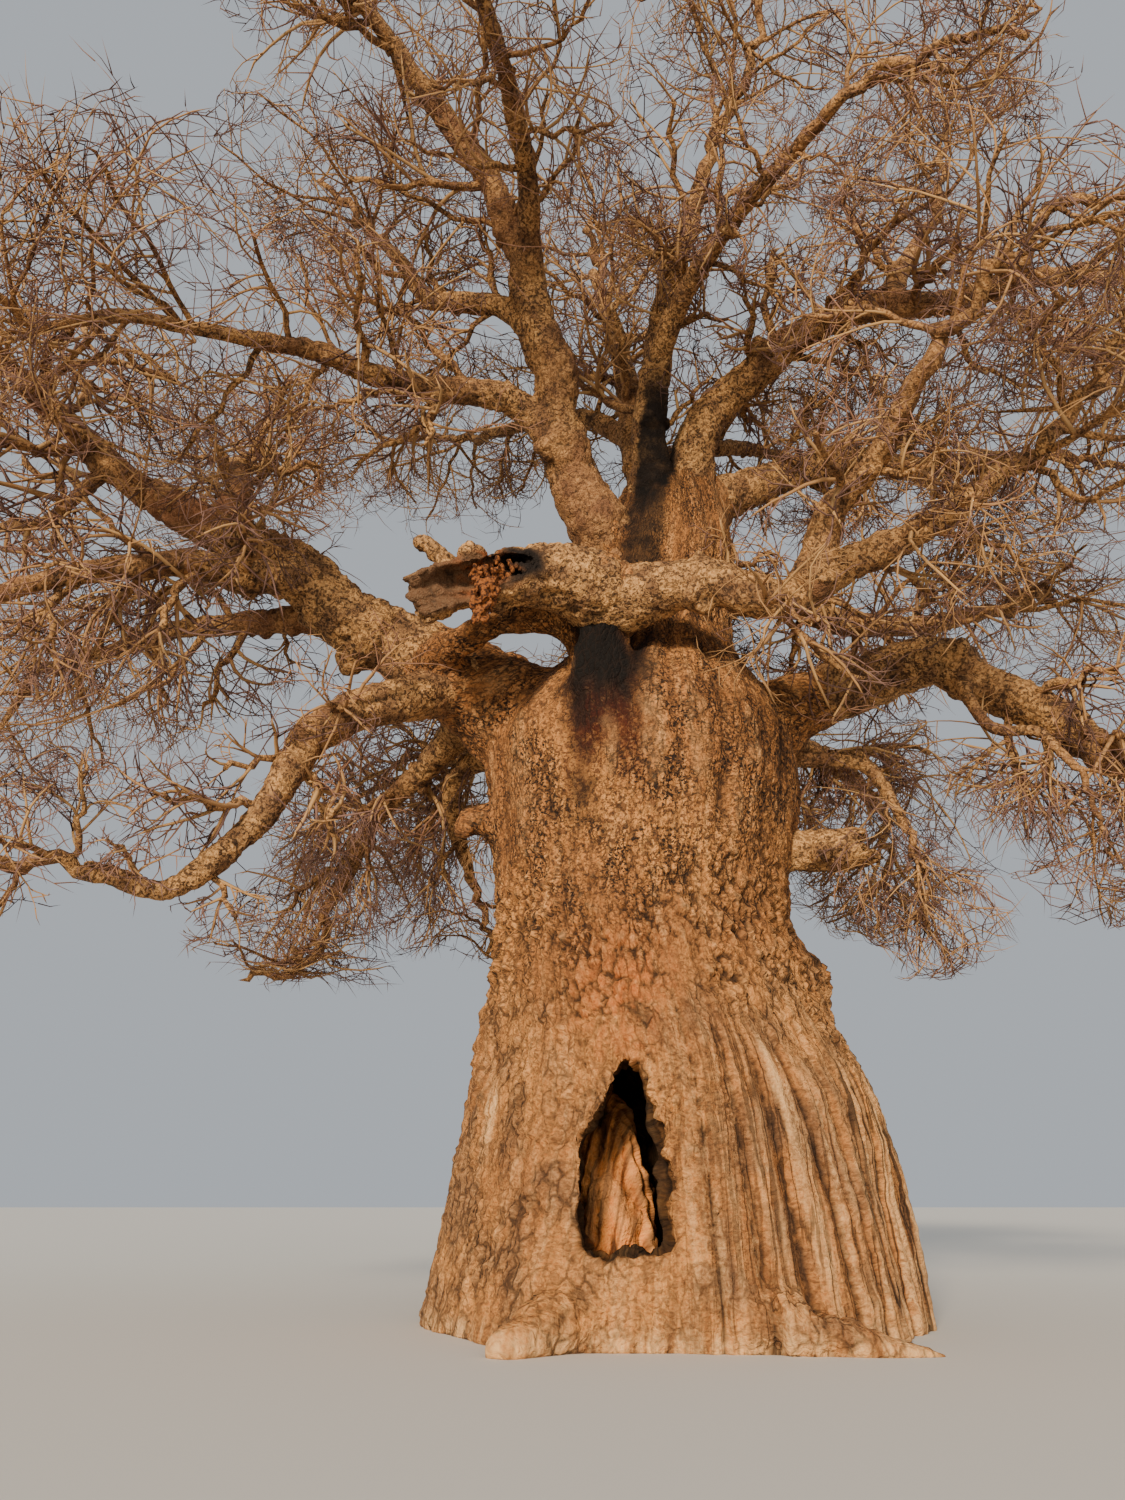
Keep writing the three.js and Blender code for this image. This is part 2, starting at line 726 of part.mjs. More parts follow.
function pointAlong(points, share) {
  const along = share * (points.length - 1);
  const index = Math.min(points.length - 2, Math.floor(along));
  return {
    point: points[index].clone().lerp(points[index + 1], along - index),
    direction: points[index + 1].clone().sub(points[index]).normalize(),
  };
}

function childTwig(twig, points, index) {
  const key = childKey(twig.key, index);
  const place = (GOLDEN_SHARE * (index + 1) + draw(twig.key, DRAWS.start)) % 1;
  const share = CHILD_SPAN.first + CHILD_SPAN.span * place;
  const { point, direction } = pointAlong(points, share);
  const stray = 360 * draw(twig.key, DRAWS.round) + TURN_SPREAD * draw(key, DRAWS.stray);
  const turn = THREE.MathUtils.degToRad(GOLDEN_TURN * index + stray);
  const lean = THREE.MathUtils.lerp(SPLAY.least, SPLAY.most, draw(key, DRAWS.splay));
  const splay = THREE.MathUtils.degToRad(lean);
  const across = guideFor(direction).cross(direction).normalize();
  const other = new THREE.Vector3().crossVectors(direction, across);
  return {
    key,
    level: twig.level + 1,
    start: point,
    direction: direction
      .multiplyScalar(Math.cos(splay))
      .addScaledVector(across, Math.sin(splay) * Math.cos(turn))
      .addScaledVector(other, Math.sin(splay) * Math.sin(turn)),
    length:
      twig.length * CHILD_LENGTH[twig.level] * (1 - SHORTENING * share) *
      (LENGTH_SPREAD.least + LENGTH_SPREAD.more * draw(key, DRAWS.length)),
    radius: twig.radius * (1 - (1 - TIP_GIRTH) * share) * CHILD_GIRTH[twig.level],
  };
}

// A pointed tube with a few flat sides along a twig's joints
function twigSolid(points, radius, sides) {
  const rings = points.length - 1;
  const ways = points.map((point, i) => {
    const before = points[Math.max(0, i - 1)];
    const after = points[Math.min(rings, i + 1)];
    return i === 0 ? points[1].clone().sub(point).normalize() : after.clone().sub(before).normalize();
  });
  const guide = guideFor(ways[0]);
  return solidOf(
    shapedCylinder(sides, rings, true, (share, angle, onWall) => {
      const at = Math.round(share * rings);
      if (!onWall) return points[at].clone();
      const across = guide.clone().cross(ways[at]).normalize();
      const other = new THREE.Vector3().crossVectors(across, ways[at]);
      const wide = radius * (1 - (1 - TIP_GIRTH) * share);
      return points[at]
        .clone()
        .addScaledVector(across, Math.sin(angle) * wide)
        .addScaledVector(other, Math.cos(angle) * wide);
    }),
  );
}

function massSolid(mass, masses, stretches) {
  const solids = [];
  const grow = (twig) => {
    const points = growTwig(twig, mass, masses, stretches);
    if (points.length < 2) return;
    solids.push(twigSolid(points, twig.radius, RULE[twig.level].sides));
    for (let i = 0; i < RULE[twig.level].children; i++) {
      grow(childTwig(twig, points, i));
    }
  };
  grow({
    key: mass.key,
    level: 0,
    start: mass.tip.clone().addScaledVector(mass.ahead, GAP),
    direction: mass.ahead.clone(),
    length: STEM.reach * mass.reach,
    radius: STEM.girth * mass.bearer.girth[1],
  });
  return largestBody(wasm.Manifold.union(solids));
}

function buildTree() {
  prepareLimbs();
  const tree = new THREE.Group();
  const ground = groundBlock();
  const hollow = doorSolid().add(roomSolid());
  const trunk = largestBody(trunkSolid(0).subtract(ground).subtract(hollow));
  tree.add(meshOf("trunk", trunk, WOOD.trunk));

  // Each bough is trimmed by the trunk and by every bough before it, all made a little wider
  const trimmers = [trunkSolid(SEAT)];
  for (const [name, bough] of Object.entries(BOUGHS)) {
    let solid = limbSolid(bough);
    for (const trimmer of trimmers) solid = solid.subtract(trimmer);
    if (name === "broken_bough") solid = solid.add(deadSpur(bough)).subtract(tornEnd(bough));
    tree.add(meshOf(name, largestBody(solid), WOOD.bough));
    trimmers.push(limbSolid(bough, SEAT));
  }

  const masses = prepareMasses();
  const stretches = limbStretches();
  for (const mass of masses) {
    const name = mass.bearer.name.replace("_bough", "") + "_twigs";
    tree.add(meshOf(name, massSolid(mass, masses, stretches), WOOD.twig));
  }
  return tree;
}

export default buildTree();
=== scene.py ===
"""An old leafless baobab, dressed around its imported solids.

Metres, +Z up, origin where the trunk's axis meets the ground. The doorway of the hollow faces -Y.
Bearings are compass degrees seen from above, with 0 along +Y and 90 along +X. A climb is degrees above
level. The boughs and the growth rule are those of the part's source.
"""

import itertools
import json
import logging
import math
from dataclasses import dataclass, field
from enum import Enum

import bpy
import numpy as np
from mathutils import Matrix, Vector

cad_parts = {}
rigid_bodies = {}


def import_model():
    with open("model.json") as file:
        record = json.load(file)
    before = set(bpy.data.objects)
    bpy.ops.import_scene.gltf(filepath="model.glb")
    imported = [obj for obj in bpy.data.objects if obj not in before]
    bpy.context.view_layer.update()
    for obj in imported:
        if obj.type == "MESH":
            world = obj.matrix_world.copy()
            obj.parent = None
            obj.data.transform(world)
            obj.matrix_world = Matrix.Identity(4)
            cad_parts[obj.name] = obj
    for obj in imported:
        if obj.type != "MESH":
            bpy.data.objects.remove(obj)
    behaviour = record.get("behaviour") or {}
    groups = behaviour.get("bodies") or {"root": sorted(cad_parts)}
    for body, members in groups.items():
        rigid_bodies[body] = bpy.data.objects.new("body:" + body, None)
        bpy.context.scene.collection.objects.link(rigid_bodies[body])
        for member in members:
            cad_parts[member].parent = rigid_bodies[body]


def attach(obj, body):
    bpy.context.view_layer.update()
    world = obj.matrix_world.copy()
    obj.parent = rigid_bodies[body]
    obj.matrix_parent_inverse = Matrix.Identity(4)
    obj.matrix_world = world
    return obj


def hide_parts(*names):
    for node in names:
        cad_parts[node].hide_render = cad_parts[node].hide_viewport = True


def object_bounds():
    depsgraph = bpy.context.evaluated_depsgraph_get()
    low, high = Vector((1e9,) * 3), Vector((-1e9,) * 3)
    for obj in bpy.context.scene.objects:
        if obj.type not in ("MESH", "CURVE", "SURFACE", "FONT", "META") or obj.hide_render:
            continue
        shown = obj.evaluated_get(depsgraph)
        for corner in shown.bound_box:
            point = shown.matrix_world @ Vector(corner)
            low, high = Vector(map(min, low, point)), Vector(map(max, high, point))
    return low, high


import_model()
CAD_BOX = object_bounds()

BODY = "root"

Array = np.ndarray
Piece = bpy.types.Object
Socket = bpy.types.NodeSocket
Material = bpy.types.Material
Pair = tuple[float, float]
Triple = tuple[float, float, float]

log = logging.getLogger("baobab")


# The tree's named sizes

class Slot(Enum):
    """The record's material slots."""

    TRUNK = "trunk_bark"
    BOUGH = "bough_bark"
    TWIG = "twig_bark"


@dataclass(frozen=True)
class TwigSpace:
    """What a bough's tip carries: how far its twigs reach, the lift of their middle, and how they hang.

    floor is the height that they hang down to at most.
    """

    reach: float
    lift: float
    hang: float
    floor: float = 0.0


@dataclass(frozen=True)
class Limb:
    """One tapering limb.

    root is a point inside the trunk, or the parent's name and a share of its length. girth is the radius
    at foot and tip. run is a row of stretches, each a length, a bearing and a climb.
    """

    name: str
    root: tuple
    girth: Pair
    run: tuple[Triple, ...]
    space: TwigSpace | None = None


@dataclass(frozen=True)
class Station:
    """A level ring of the trunk's body."""

    height: float
    radius: float
    drift: float


@dataclass(frozen=True)
class Buttress:
    """A rib that stands out from the trunk's foot and fades upwards."""

    bearing: float
    spread: float
    out: float
    top: float


@dataclass(frozen=True)
class Fold:
    """A hollow pressed into the trunk, or a swelling where its depth is negative."""

    bearing: float
    spread: float
    depth: float
    middle: float
    reach: float


STATIONS = (
    Station(0.0, 3.42, 0.0),
    Station(0.9, 3.33, 0.03),
    Station(1.9, 3.21, 0.04),
    Station(3.1, 3.02, 0.01),
    Station(4.3, 2.69, -0.17),
    Station(5.6, 2.45, -0.33),
    Station(6.6, 2.45, -0.32),
    Station(7.9, 2.6, -0.29),
    Station(8.8, 2.6, -0.33),
    Station(9.6, 2.15, -0.26),
    Station(10.3, 1.6, -0.12),
    Station(11.0, 1.37, -0.04),
    Station(12.7, 1.21, 0.26),
    Station(13.8, 0.96, 0.32),
    Station(14.4, 0.64, 0.34),
    Station(14.7, 0.26, 0.34),
)

BUTTRESSES = (
    Buttress(97, 17, 0.09, 3.3),
    Buttress(148, 15, 0.33, 2.3),
    Buttress(176, 10, 0.16, 2.6),
    Buttress(214, 15, 0.42, 1.5),
    Buttress(262, 20, 0.2, 2.2),
    Buttress(305, 18, 0.36, 2.1),
    Buttress(345, 15, 0.26, 2.6),
    Buttress(24, 17, 0.38, 2.0),
    Buttress(62, 14, 0.22, 2.7),
)

FOLDS = (
    Fold(199, 15, 0.26, 8.7, 2.1),
    Fold(128, 12, 0.24, 1.2, 1.5),
    Fold(236, 12, 0.15, 3.6, 2.3),
    Fold(20, 20, 0.23, 8.2, 2.3),
    Fold(322, 13, 0.19, 6.8, 2.5),
    Fold(76, 14, 0.17, 7.4, 1.9),
    Fold(92, 16, -0.21, 4.95, 0.42),
)

# Shoulders, stem, burl, arch and surface roots, one wood with the trunk
LOBES = (
    Limb("left_shoulder", (-0.7, 0, 7.5), (1.55, 0.72), ((1.7, -95, 52), (1.35, -98, 38), (1.25, -105, 26))),
    Limb("right_shoulder", (0.5, 0, 8.0), (1.25, 0.5), ((1.3, 95, 42), (0.95, 104, 35), (0.75, 104, 20))),
    Limb("front_stem", (-0.95, -1.45, 8.0), (0.82, 0.43), ((1.3, -172, 66), (1.05, 172, 82))),
    Limb("left_burl", (-2.3, -0.2, 7.25), (0.43, 0.17), ((0.9, -100, 12), (0.45, -120, -55))),
    Limb("arch", (-1.15, -1.5, 9.3), (0.38, 0.25), ((1.15, -112, 72), (0.9, -96, 6), (1.0, -88, -22))),
    Limb("front_root", (-0.2, -2.9, 0.42), (0.48, 0.11), ((1.4, 116, -8), (1.65, 96, -11))),
    Limb("front_left_root", (-1.5, -2.5, 0.33), (0.5, 0.13), ((0.9, -158, -8), (0.8, -130, -14))),
    Limb("back_root", (0.9, 2.9, 0.4), (0.48, 0.13), ((1.2, 40, -12), (0.9, 55, -14))),
)

BOUGHS = (
    Limb("left_bough", ("left_shoulder", 1.0), (0.69, 0.33),
         ((1.8, -105, 26), (1.35, -101, 40), (1.0, -102, 19), (1.15, -107, 26)), TwigSpace(3.45, 0.1, 0.1)),
    Limb("left_rise_bough", ("left_bough", 0.84), (0.27, 0.15),
         ((1.2, 10, 70), (1.5, -25, 55), (1.4, -12, 35)), TwigSpace(3.6, 0.25, -0.2)),
    Limb("left_front_bough", ("left_bough", 0.5), (0.29, 0.14),
         ((1.35, -142, -22), (1.25, -132, -12), (1.4, -123, -26), (0.9, -128, -34)),
         TwigSpace(3.3, -0.15, 0.5)),
    Limb("left_far_bough", ("left_bough", 0.24), (0.3, 0.15),
         ((1.4, -64, 20), (2.5, -76, 5), (1.5, -69, -4)), TwigSpace(3.45, -0.1, 0.35)),
    Limb("left_droop_bough", (-3.3, -0.6, 9.85), (0.43, 0.13),
         ((2.2, -118, -26), (0.8, -124, -40), (0.75, -142, -66), (1.3, -127, -62), (1.4, -114, -44),
          (0.65, -108, 10)), TwigSpace(2.2, 0.1, 0.15)),
    Limb("left_back_droop_bough", (-3.3, 0.2, 9.8), (0.33, 0.13),
         ((1.8, -34, -22), (1.3, -58, -32), (1.5, -50, -52)), TwigSpace(2.7, -0.3, 0.8, 5.6)),
    Limb("left_under_bough", (-2.35, 0.6, 9.3), (0.3, 0.11),
         ((1.7, -52, -14), (0.9, -5, -58), (0.75, 30, -56)), TwigSpace(2.1, -0.3, 0.9, 5.8)),
    Limb("broken_bough", (-0.9, -2.15, 10.6), (0.47, 0.39),
         ((1.25, -116, 3), (1.05, -112, -18), (1.0, -104, -24))),
    Limb("cross_bough", (-0.95, -2.15, 10.55), (0.44, 0.17),
         ((1.65, 112, -2), (1.25, 110, -20), (1.1, 107, 20), (0.95, 109, 18), (1.2, 107, 30)),
         TwigSpace(3.0, 0.1, 0.2)),
    Limb("cross_rise_bough", ("cross_bough", 0.55), (0.27, 0.15),
         ((1.0, 158, 62), (0.9, 140, 28), (1.0, 160, 26)), TwigSpace(2.9, 0.15, 0.1)),
    Limb("right_bough", ("right_shoulder", 1.0), (0.5, 0.22),
         ((1.4, 103, 16), (0.62, 100, 0), (1.05, 104, -37), (1.0, 105, -39), (1.5, 104, -38),
          (0.95, 102, 10), (0.9, 98, 20)), TwigSpace(3.3, -0.1, 0.5)),
    Limb("right_hang_bough", ("right_bough", 0.32), (0.125, 0.07),
         ((0.85, -160, -54), (0.78, 150, -60), (0.66, 118, -17), (0.5, 148, -58)),
         TwigSpace(1.8, -0.3, 0.9)),
    Limb("right_small_bough", (1.5, 0.15, 8.75), (0.2, 0.09),
         ((1.55, 100, -6), (0.55, 102, -18), (0.42, 118, -58), (0.4, 150, -66)), TwigSpace(1.9, -0.3, 0.9)),
    Limb("cut_stub", (1.2, -0.15, 6.98), (0.36, 0.32), ((1.1, 100, -2), (1.05, 101, -1))),
    Limb("right_back_bough", (0.7, 0.5, 12.1), (0.4, 0.17),
         ((2.5, 64, 15), (1.6, 62, -2), (1.9, 68, 9), (1.4, 72, 20)), TwigSpace(3.5, 0, 0.2)),
    Limb("right_mid_bough", (0.6, 0.1, 13.3), (0.48, 0.16),
         ((1.5, 90, 44), (1.55, 86, 22), (1.3, 82, 12), (1.4, 76, 8), (1.1, 80, 14)),
         TwigSpace(3.45, 0.1, 0)),
    Limb("right_high_bough", (0.6, -0.06, 13.7), (0.43, 0.15),
         ((1.7, 140, 66), (1.55, 117, 44), (1.95, 115, 17), (1.9, 109, -9), (1.1, 116, -3), (1.2, 109, -14)),
         TwigSpace(3.6, 0.1, 0.1)),
    Limb("right_high_rise_bough", ("right_high_bough", 0.62), (0.23, 0.12),
         ((1.0, 60, 66), (1.1, 30, 50), (1.1, 80, 60)), TwigSpace(3.3, 0.2, -0.2)),
    Limb("left_leader", (-0.35, -0.2, 12.3), (0.54, 0.19),
         ((1.5, -126, 46), (1.3, -137, 56), (1.6, -160, 59), (3.0, -138, 62), (1.7, -128, 42)),
         TwigSpace(3.5, 0.15, -0.1)),
    Limb("left_high_bough", ("left_leader", 0.3), (0.29, 0.13),
         ((1.2, -112, 30), (2.2, -112, -8), (1.3, -122, 2), (1.3, -132, -22)), TwigSpace(3.6, 0.1, 0.2)),
    Limb("left_top_bough", ("left_leader", 0.46), (0.25, 0.13),
         ((1.35, -98, 54), (1.5, -78, 20), (1.7, -60, 58)), TwigSpace(3.45, 0.15, -0.2)),
    Limb("front_left_bough", ("left_leader", 0.62), (0.22, 0.12),
         ((1.4, 178, 24), (1.9, -172, 10), (1.4, -165, 4)), TwigSpace(3.2, 0.1, 0.1)),
    Limb("mid_leader", (0.08, 0.2, 13.5), (0.4, 0.16),
         ((2.6, -40, 80), (2.3, -20, 78), (2.3, -30, 74)), TwigSpace(3.3, 0.1, -0.3)),
    Limb("front_leader", (0.1, -0.3, 13.4), (0.4, 0.15),
         ((2.0, -165, 76), (1.6, 150, 74), (1.6, 146, 66), (1.5, 140, 64)), TwigSpace(3.3, 0.15, -0.3)),
    Limb("front_right_bough", ("front_leader", 0.42), (0.22, 0.12),
         ((1.5, 160, 30), (1.9, 152, 12), (1.4, 146, 4)), TwigSpace(3.2, 0.1, 0.1)),
    Limb("back_low_left_bough", (-1.25, 0.95, 9.1), (0.56, 0.17),
         ((2.7, -42, 26), (2.2, -34, 12), (1.9, -28, 4), (1.3, -30, -6)), TwigSpace(3.6, -0.05, 0.3)),
    Limb("back_low_right_bough", (0.8, 0.95, 9.1), (0.52, 0.17),
         ((2.7, 44, 24), (2.2, 36, 11), (1.8, 38, 5), (1.2, 32, -6)), TwigSpace(3.6, -0.05, 0.3)),
    Limb("back_mid_bough", (0.1, 0.3, 11.5), (0.43, 0.16),
         ((2.3, 8, 36), (2.2, 2, 24), (2.0, 8, 10)), TwigSpace(3.6, 0.05, 0.1)),
    Limb("back_high_left_bough", ("mid_leader", 0.34), (0.23, 0.13),
         ((1.5, -50, 44), (1.9, -42, 30), (1.5, -46, 20)), TwigSpace(3.6, 0.1, -0.1)),
    Limb("back_high_right_bough", ("mid_leader", 0.2), (0.25, 0.13),
         ((1.7, 55, 42), (2.1, 48, 30), (1.6, 45, 22)), TwigSpace(3.6, 0.1, -0.1)),
)

TAPER = 1.15  # over 1, a limb loses its girth sooner
GOLDEN_TURN = 137.5
GOLDEN_SHARE = 0.618
BITS_32 = 0xFFFFFFFF

# Where a lobe runs on, past its solid's end, into the wood beside it
TIES = {"arch": ((-3.75, -1.3, 9.98), (-4.1, -0.8, 10.12))}

# How smooth and red-brown a bough's bark is, and the share of its length where that begins
RUDDY = {"left_bough": 1.0, "left_rise_bough": 1.0, "left_front_bough": 0.8, "left_far_bough": 0.9,
         "left_leader": 0.6, "broken_bough": 0.0, "cross_bough": 0.1, "cut_stub": 0.0}
RUDDY_ELSEWHERE = 0.4
RUDDY_FROM = {"left_bough": 0.6}


# Numbers, directions and noise

def heading(bearing: float, climb: float) -> Array:
    """The unit vector of a bearing and a climb, in degrees.

    Args:
        bearing: compass degrees from +Y towards +X.
        climb: degrees above level.

    Returns:
        A vector of three numbers.
    """
    b = math.radians(bearing)
    c = math.radians(climb)
    return np.array((math.sin(b) * math.cos(c), math.cos(b) * math.cos(c), math.sin(c)))


def unit(vectors: Array) -> Array:
    """Vectors at length one, along the last axis."""
    return vectors / np.maximum(np.linalg.norm(vectors, axis=-1, keepdims=True), 1e-9)


def square_to(ways: Array) -> Array:
    """A unit vector square to each way, and level unless the way is steep."""
    guide = np.where(np.abs(ways[:, 2:]) > 0.8, (1.0, 0.0, 0.0), (0.0, 0.0, 1.0))
    return unit(np.cross(guide, ways))


def past(bearings: Array, middle: float) -> Array:
    """How many degrees bearings lie past a middle one, from -180 to 180."""
    return (bearings - middle + 540) % 360 - 180


def smooth_step(values: Array, low: float, high: float) -> Array:
    """Rises smoothly from 0 at low to 1 at high; low may be the greater."""
    t = np.clip((values - low) / (high - low), 0, 1)
    return t * t * (3 - 2 * t)


def bump(values: Array, middle: float, reach: float) -> Array:
    """A bell that is 1 at middle and fades over reach."""
    return np.exp(-(((values - middle) / reach) ** 2))


def lot(cells: Array, seed: int, salt: int = 0) -> Array:
    """A number from 0 to 1 for each cell of a lattice, the same each time.

    Args:
        cells: whole numbers, as rows of three.
        seed: picks one of many patterns.
        salt: picks a further number for the same cell.

    Returns:
        One number for each cell.
    """
    mixed = (cells[:, 0] * 73856093) ^ (cells[:, 1] * 19349663) ^ (cells[:, 2] * 83492791) ^ (seed * 40503)
    mixed = (((mixed + salt) & BITS_32) * 2246822519) & BITS_32
    mixed = ((mixed ^ (mixed >> 15)) * 3266489917) & BITS_32
    return (mixed ^ (mixed >> 16)) / (BITS_32 + 1)


def value_noise(points: Array, seed: int) -> Array:
    """Smooth noise from -1 to 1 on a lattice of one unit.

    Args:
        points: places, as rows of three numbers.
        seed: picks one of many patterns.

    Returns:
        One number for each place.
    """
    cell = np.floor(points).astype(np.int64)
    t = points - cell
    t = t * t * (3 - 2 * t)
    total = np.zeros(len(points))
    for corner in itertools.product((0, 1), repeat=3):
        weight = np.prod(np.where(np.array(corner), t, 1 - t), axis=1)
        total += weight * (2 * lot(cell + np.array(corner), seed) - 1)
    return total


def cloud(points: Array, seed: int, octaves: int = 3) -> Array:
    """Noise with finer noise on it.

    Args:
        points: places, as rows.
        seed: draws the noise.
        octaves: how many sizes of noise lie on each other.

    Returns:
        A number for each place, about -1 to 1.
    """
    total = np.zeros(len(points))
    for octave in range(octaves):
        total += value_noise(points * 2 ** octave + 17.3 * octave, seed + octave) / 2 ** octave
    return total / 1.5


def ridges(points: Array, seed: int, octaves: int = 3) -> Array:
    """Noise whose crests are rounded and whose creases are sharp.

    Args:
        points: places, as rows.
        seed: draws the noise.
        octaves: how many sizes of noise lie on each other.

    Returns:
        A number for each place, 0 to 1.
    """
    total = np.zeros(len(points))
    weight = 0.0
    for octave in range(octaves):
        total += np.abs(value_noise(points * 2 ** octave + 9.1 * octave, seed + octave)) / 2 ** octave
        weight += 1 / 2 ** octave
    return np.clip(total / weight * 2.2, 0, 1)


def scattered(cells: Array, seed: int) -> Array:
    """One place from 0 to 1 along each axis for each cell of a lattice."""
    return np.column_stack([lot(cells, seed, axis * 7919) for axis in range(3)])


def scales(points: Array, seed: int) -> Array:
    """Overlapping scales, as on old bark: each stands out at its lower edge, which ends sharply.

    Args:
        points: places, as rows; a scale is about one unit wide.
        seed: picks one of many patterns.

    Returns:
        A height from 0 to 1 for each place.
    """
    cell = np.floor(points).astype(np.int64)
    nearest = np.full(len(points), 9.0)
    second = np.full(len(points), 9.0)
    above = np.zeros(len(points))
    for step in itertools.product((-1, 0, 1), repeat=3):
        at = cell + np.array(step)
        away = points - at - scattered(at, seed)
        distance = np.linalg.norm(away, axis=1)
        closer = distance < nearest
        second = np.where(closer, nearest, np.minimum(second, distance))
        nearest = np.where(closer, distance, nearest)
        above = np.where(closer, away[:, 2], above)
    plate = smooth_step(second - nearest, 0.0, 0.22)
    return np.clip(plate * (0.62 - 0.75 * above), 0, 1)


# Limbs as paths

class Path:
    """A smooth centre line through joints, measured along its length."""

    STEPS = 20

    def __init__(self, joints: Array) -> None:
        """Lays a centripetal curve through the joints.

        Args:
            joints: the places that the line passes, as rows.
        """
        padded = np.vstack((2 * joints[0] - joints[1], joints, 2 * joints[-1] - joints[-2]))
        rows = [joints[0][None]]
        for i in range(len(joints) - 1):
            rows.append(self._stretch(*padded[i:i + 4]))
        self.points = np.vstack(rows)
        steps = np.linalg.norm(np.diff(self.points, axis=0), axis=1)
        self._along = np.concatenate(((0.0,), np.cumsum(steps)))
        self.length = float(self._along[-1])

    def _stretch(self, a: Array, b: Array, c: Array, d: Array) -> Array:
        """The points of the curve between b and c, without b.

        Args:
            a: the joint before b.
            b: where the stretch starts.
            c: where it ends.
            d: the joint after c.

        Returns:
            The points, as rows.
        """
        first, middle, last = (math.sqrt(np.linalg.norm(q - p)) for p, q in ((a, b), (b, c), (c, d)))
        leave = ((b - a) / first - (c - a) / (first + middle) + (c - b) / middle) * middle
        arrive = ((c - b) / middle - (d - b) / (middle + last) + (d - c) / last) * middle
        t = np.linspace(0, 1, self.STEPS + 1)[1:, None]
        cubic = 2 * b - 2 * c + leave + arrive
        square = -3 * b + 3 * c - 2 * leave - arrive
        return ((cubic * t + square) * t + leave) * t + b

    def at(self, share: Array | float) -> Array:
        """The places at shares of the length.

        Args:
            share: a share of the length, or several.

        Returns:
            The place, or a row for each share.
        """
        along = np.atleast_1d(share) * self.length
        found = np.stack([np.interp(along, self._along, self.points[:, axis]) for axis in range(3)], axis=-1)
        return found if np.ndim(share) else found[0]

    def way(self, share: float) -> Array:
        """The direction at a share of the length."""
        near = self.at(np.array((max(0.0, share - 0.01), min(1.0, share + 0.01))))
        return unit(near[1] - near[0])


@dataclass
class Grown:
    """A limb with its path, its parent and how far its foot is sunk in that."""

    limb: Limb
    path: Path
    parent: "Grown | None"
    sunk: float
    children: list["Grown"] = field(default_factory=list)

    COLLAR_SWELL = 0.34
    COLLAR_FADE = 0.9

    @property
    def goes_on(self) -> bool:
        """Whether the limb carries on from its parent's end."""
        return self.parent is not None and self.limb.root[1] == 1.0

    def radius(self, share: Array | float) -> Array | float:
        """The limb's radius, with the swelling at its foot.

        Args:
            share: a share of the length, or several.

        Returns:
            The radius there, or one for each share.
        """
        foot, tip = self.limb.girth
        taper = tip + (foot - tip) * (1 - np.minimum(share, 1)) ** TAPER
        if self.goes_on or self.limb in LOBES:
            return taper
        out = share * self.path.length / (self.sunk + foot * self.COLLAR_FADE)
        return taper + foot * self.COLLAR_SWELL * np.exp(-out * out)


def path_of(start: Array, run: tuple[Triple, ...]) -> Path:
    """The path that a run of stretches takes.

    Args:
        start: the place of the first joint.
        run: each stretch's length, bearing and climb.

    Returns:
        A path through the joints.
    """
    joints = [start]
    for length, bearing, climb in run:
        joints.append(joints[-1] + heading(bearing, climb) * length)
    return Path(np.array(joints))


def grow_limbs() -> dict[str, Grown]:
    """Lays every lobe's and bough's path.

    Returns:
        The grown limbs by name, parents before children.
    """
    grown: dict[str, Grown] = {}
    for limb in LOBES + BOUGHS:
        parent = None
        start = np.array(limb.root, dtype=float) if len(limb.root) == 3 else None
        if start is None:
            parent = grown[limb.root[0]]
            start = parent.path.at(limb.root[1])
        sunk = float(parent.radius(limb.root[1])) if parent else limb.girth[0]
        grown[limb.name] = Grown(limb, path_of(start, limb.run), parent, sunk)
        if parent:
            parent.children.append(grown[limb.name])
    return grown


# Work on meshes

def only(*pieces: Piece) -> None:
    """Selects these pieces and nothing else; the last is the active one."""
    bpy.ops.object.select_all(action="DESELECT")
    for piece in pieces:
        piece.select_set(True)
        bpy.context.view_layer.objects.active = piece


def apply_modifier(piece: Piece, kind: str, **settings: object) -> None:
    """Adds a modifier with these settings and applies it.

    Args:
        piece: the object that it changes.
        kind: the modifier's type.
        settings: the modifier's own values.
    """
    only(piece)
    bpy.ops.object.modifier_add(type=kind)
    modifier = piece.modifiers[-1]
    for name, value in settings.items():
        setattr(modifier, name, value)
    bpy.ops.object.modifier_apply(modifier=modifier.name)


def join(pieces: list[Piece], name: str) -> Piece:
    """Joins pieces into the last one.

    Args:
        pieces: the objects.
        name: what the result is called.

    Returns:
        The joined object.
    """
    only(*pieces)
    if len(pieces) > 1:
        bpy.ops.object.join()
    joined = bpy.context.view_layer.objects.active
    joined.name = name
    joined.data.name = name
    return joined


def settle(piece: Piece) -> None:
    """Puts a piece's place, turn and scale into its mesh."""
    only(piece)
    bpy.ops.object.transform_apply(location=True, rotation=True, scale=True)


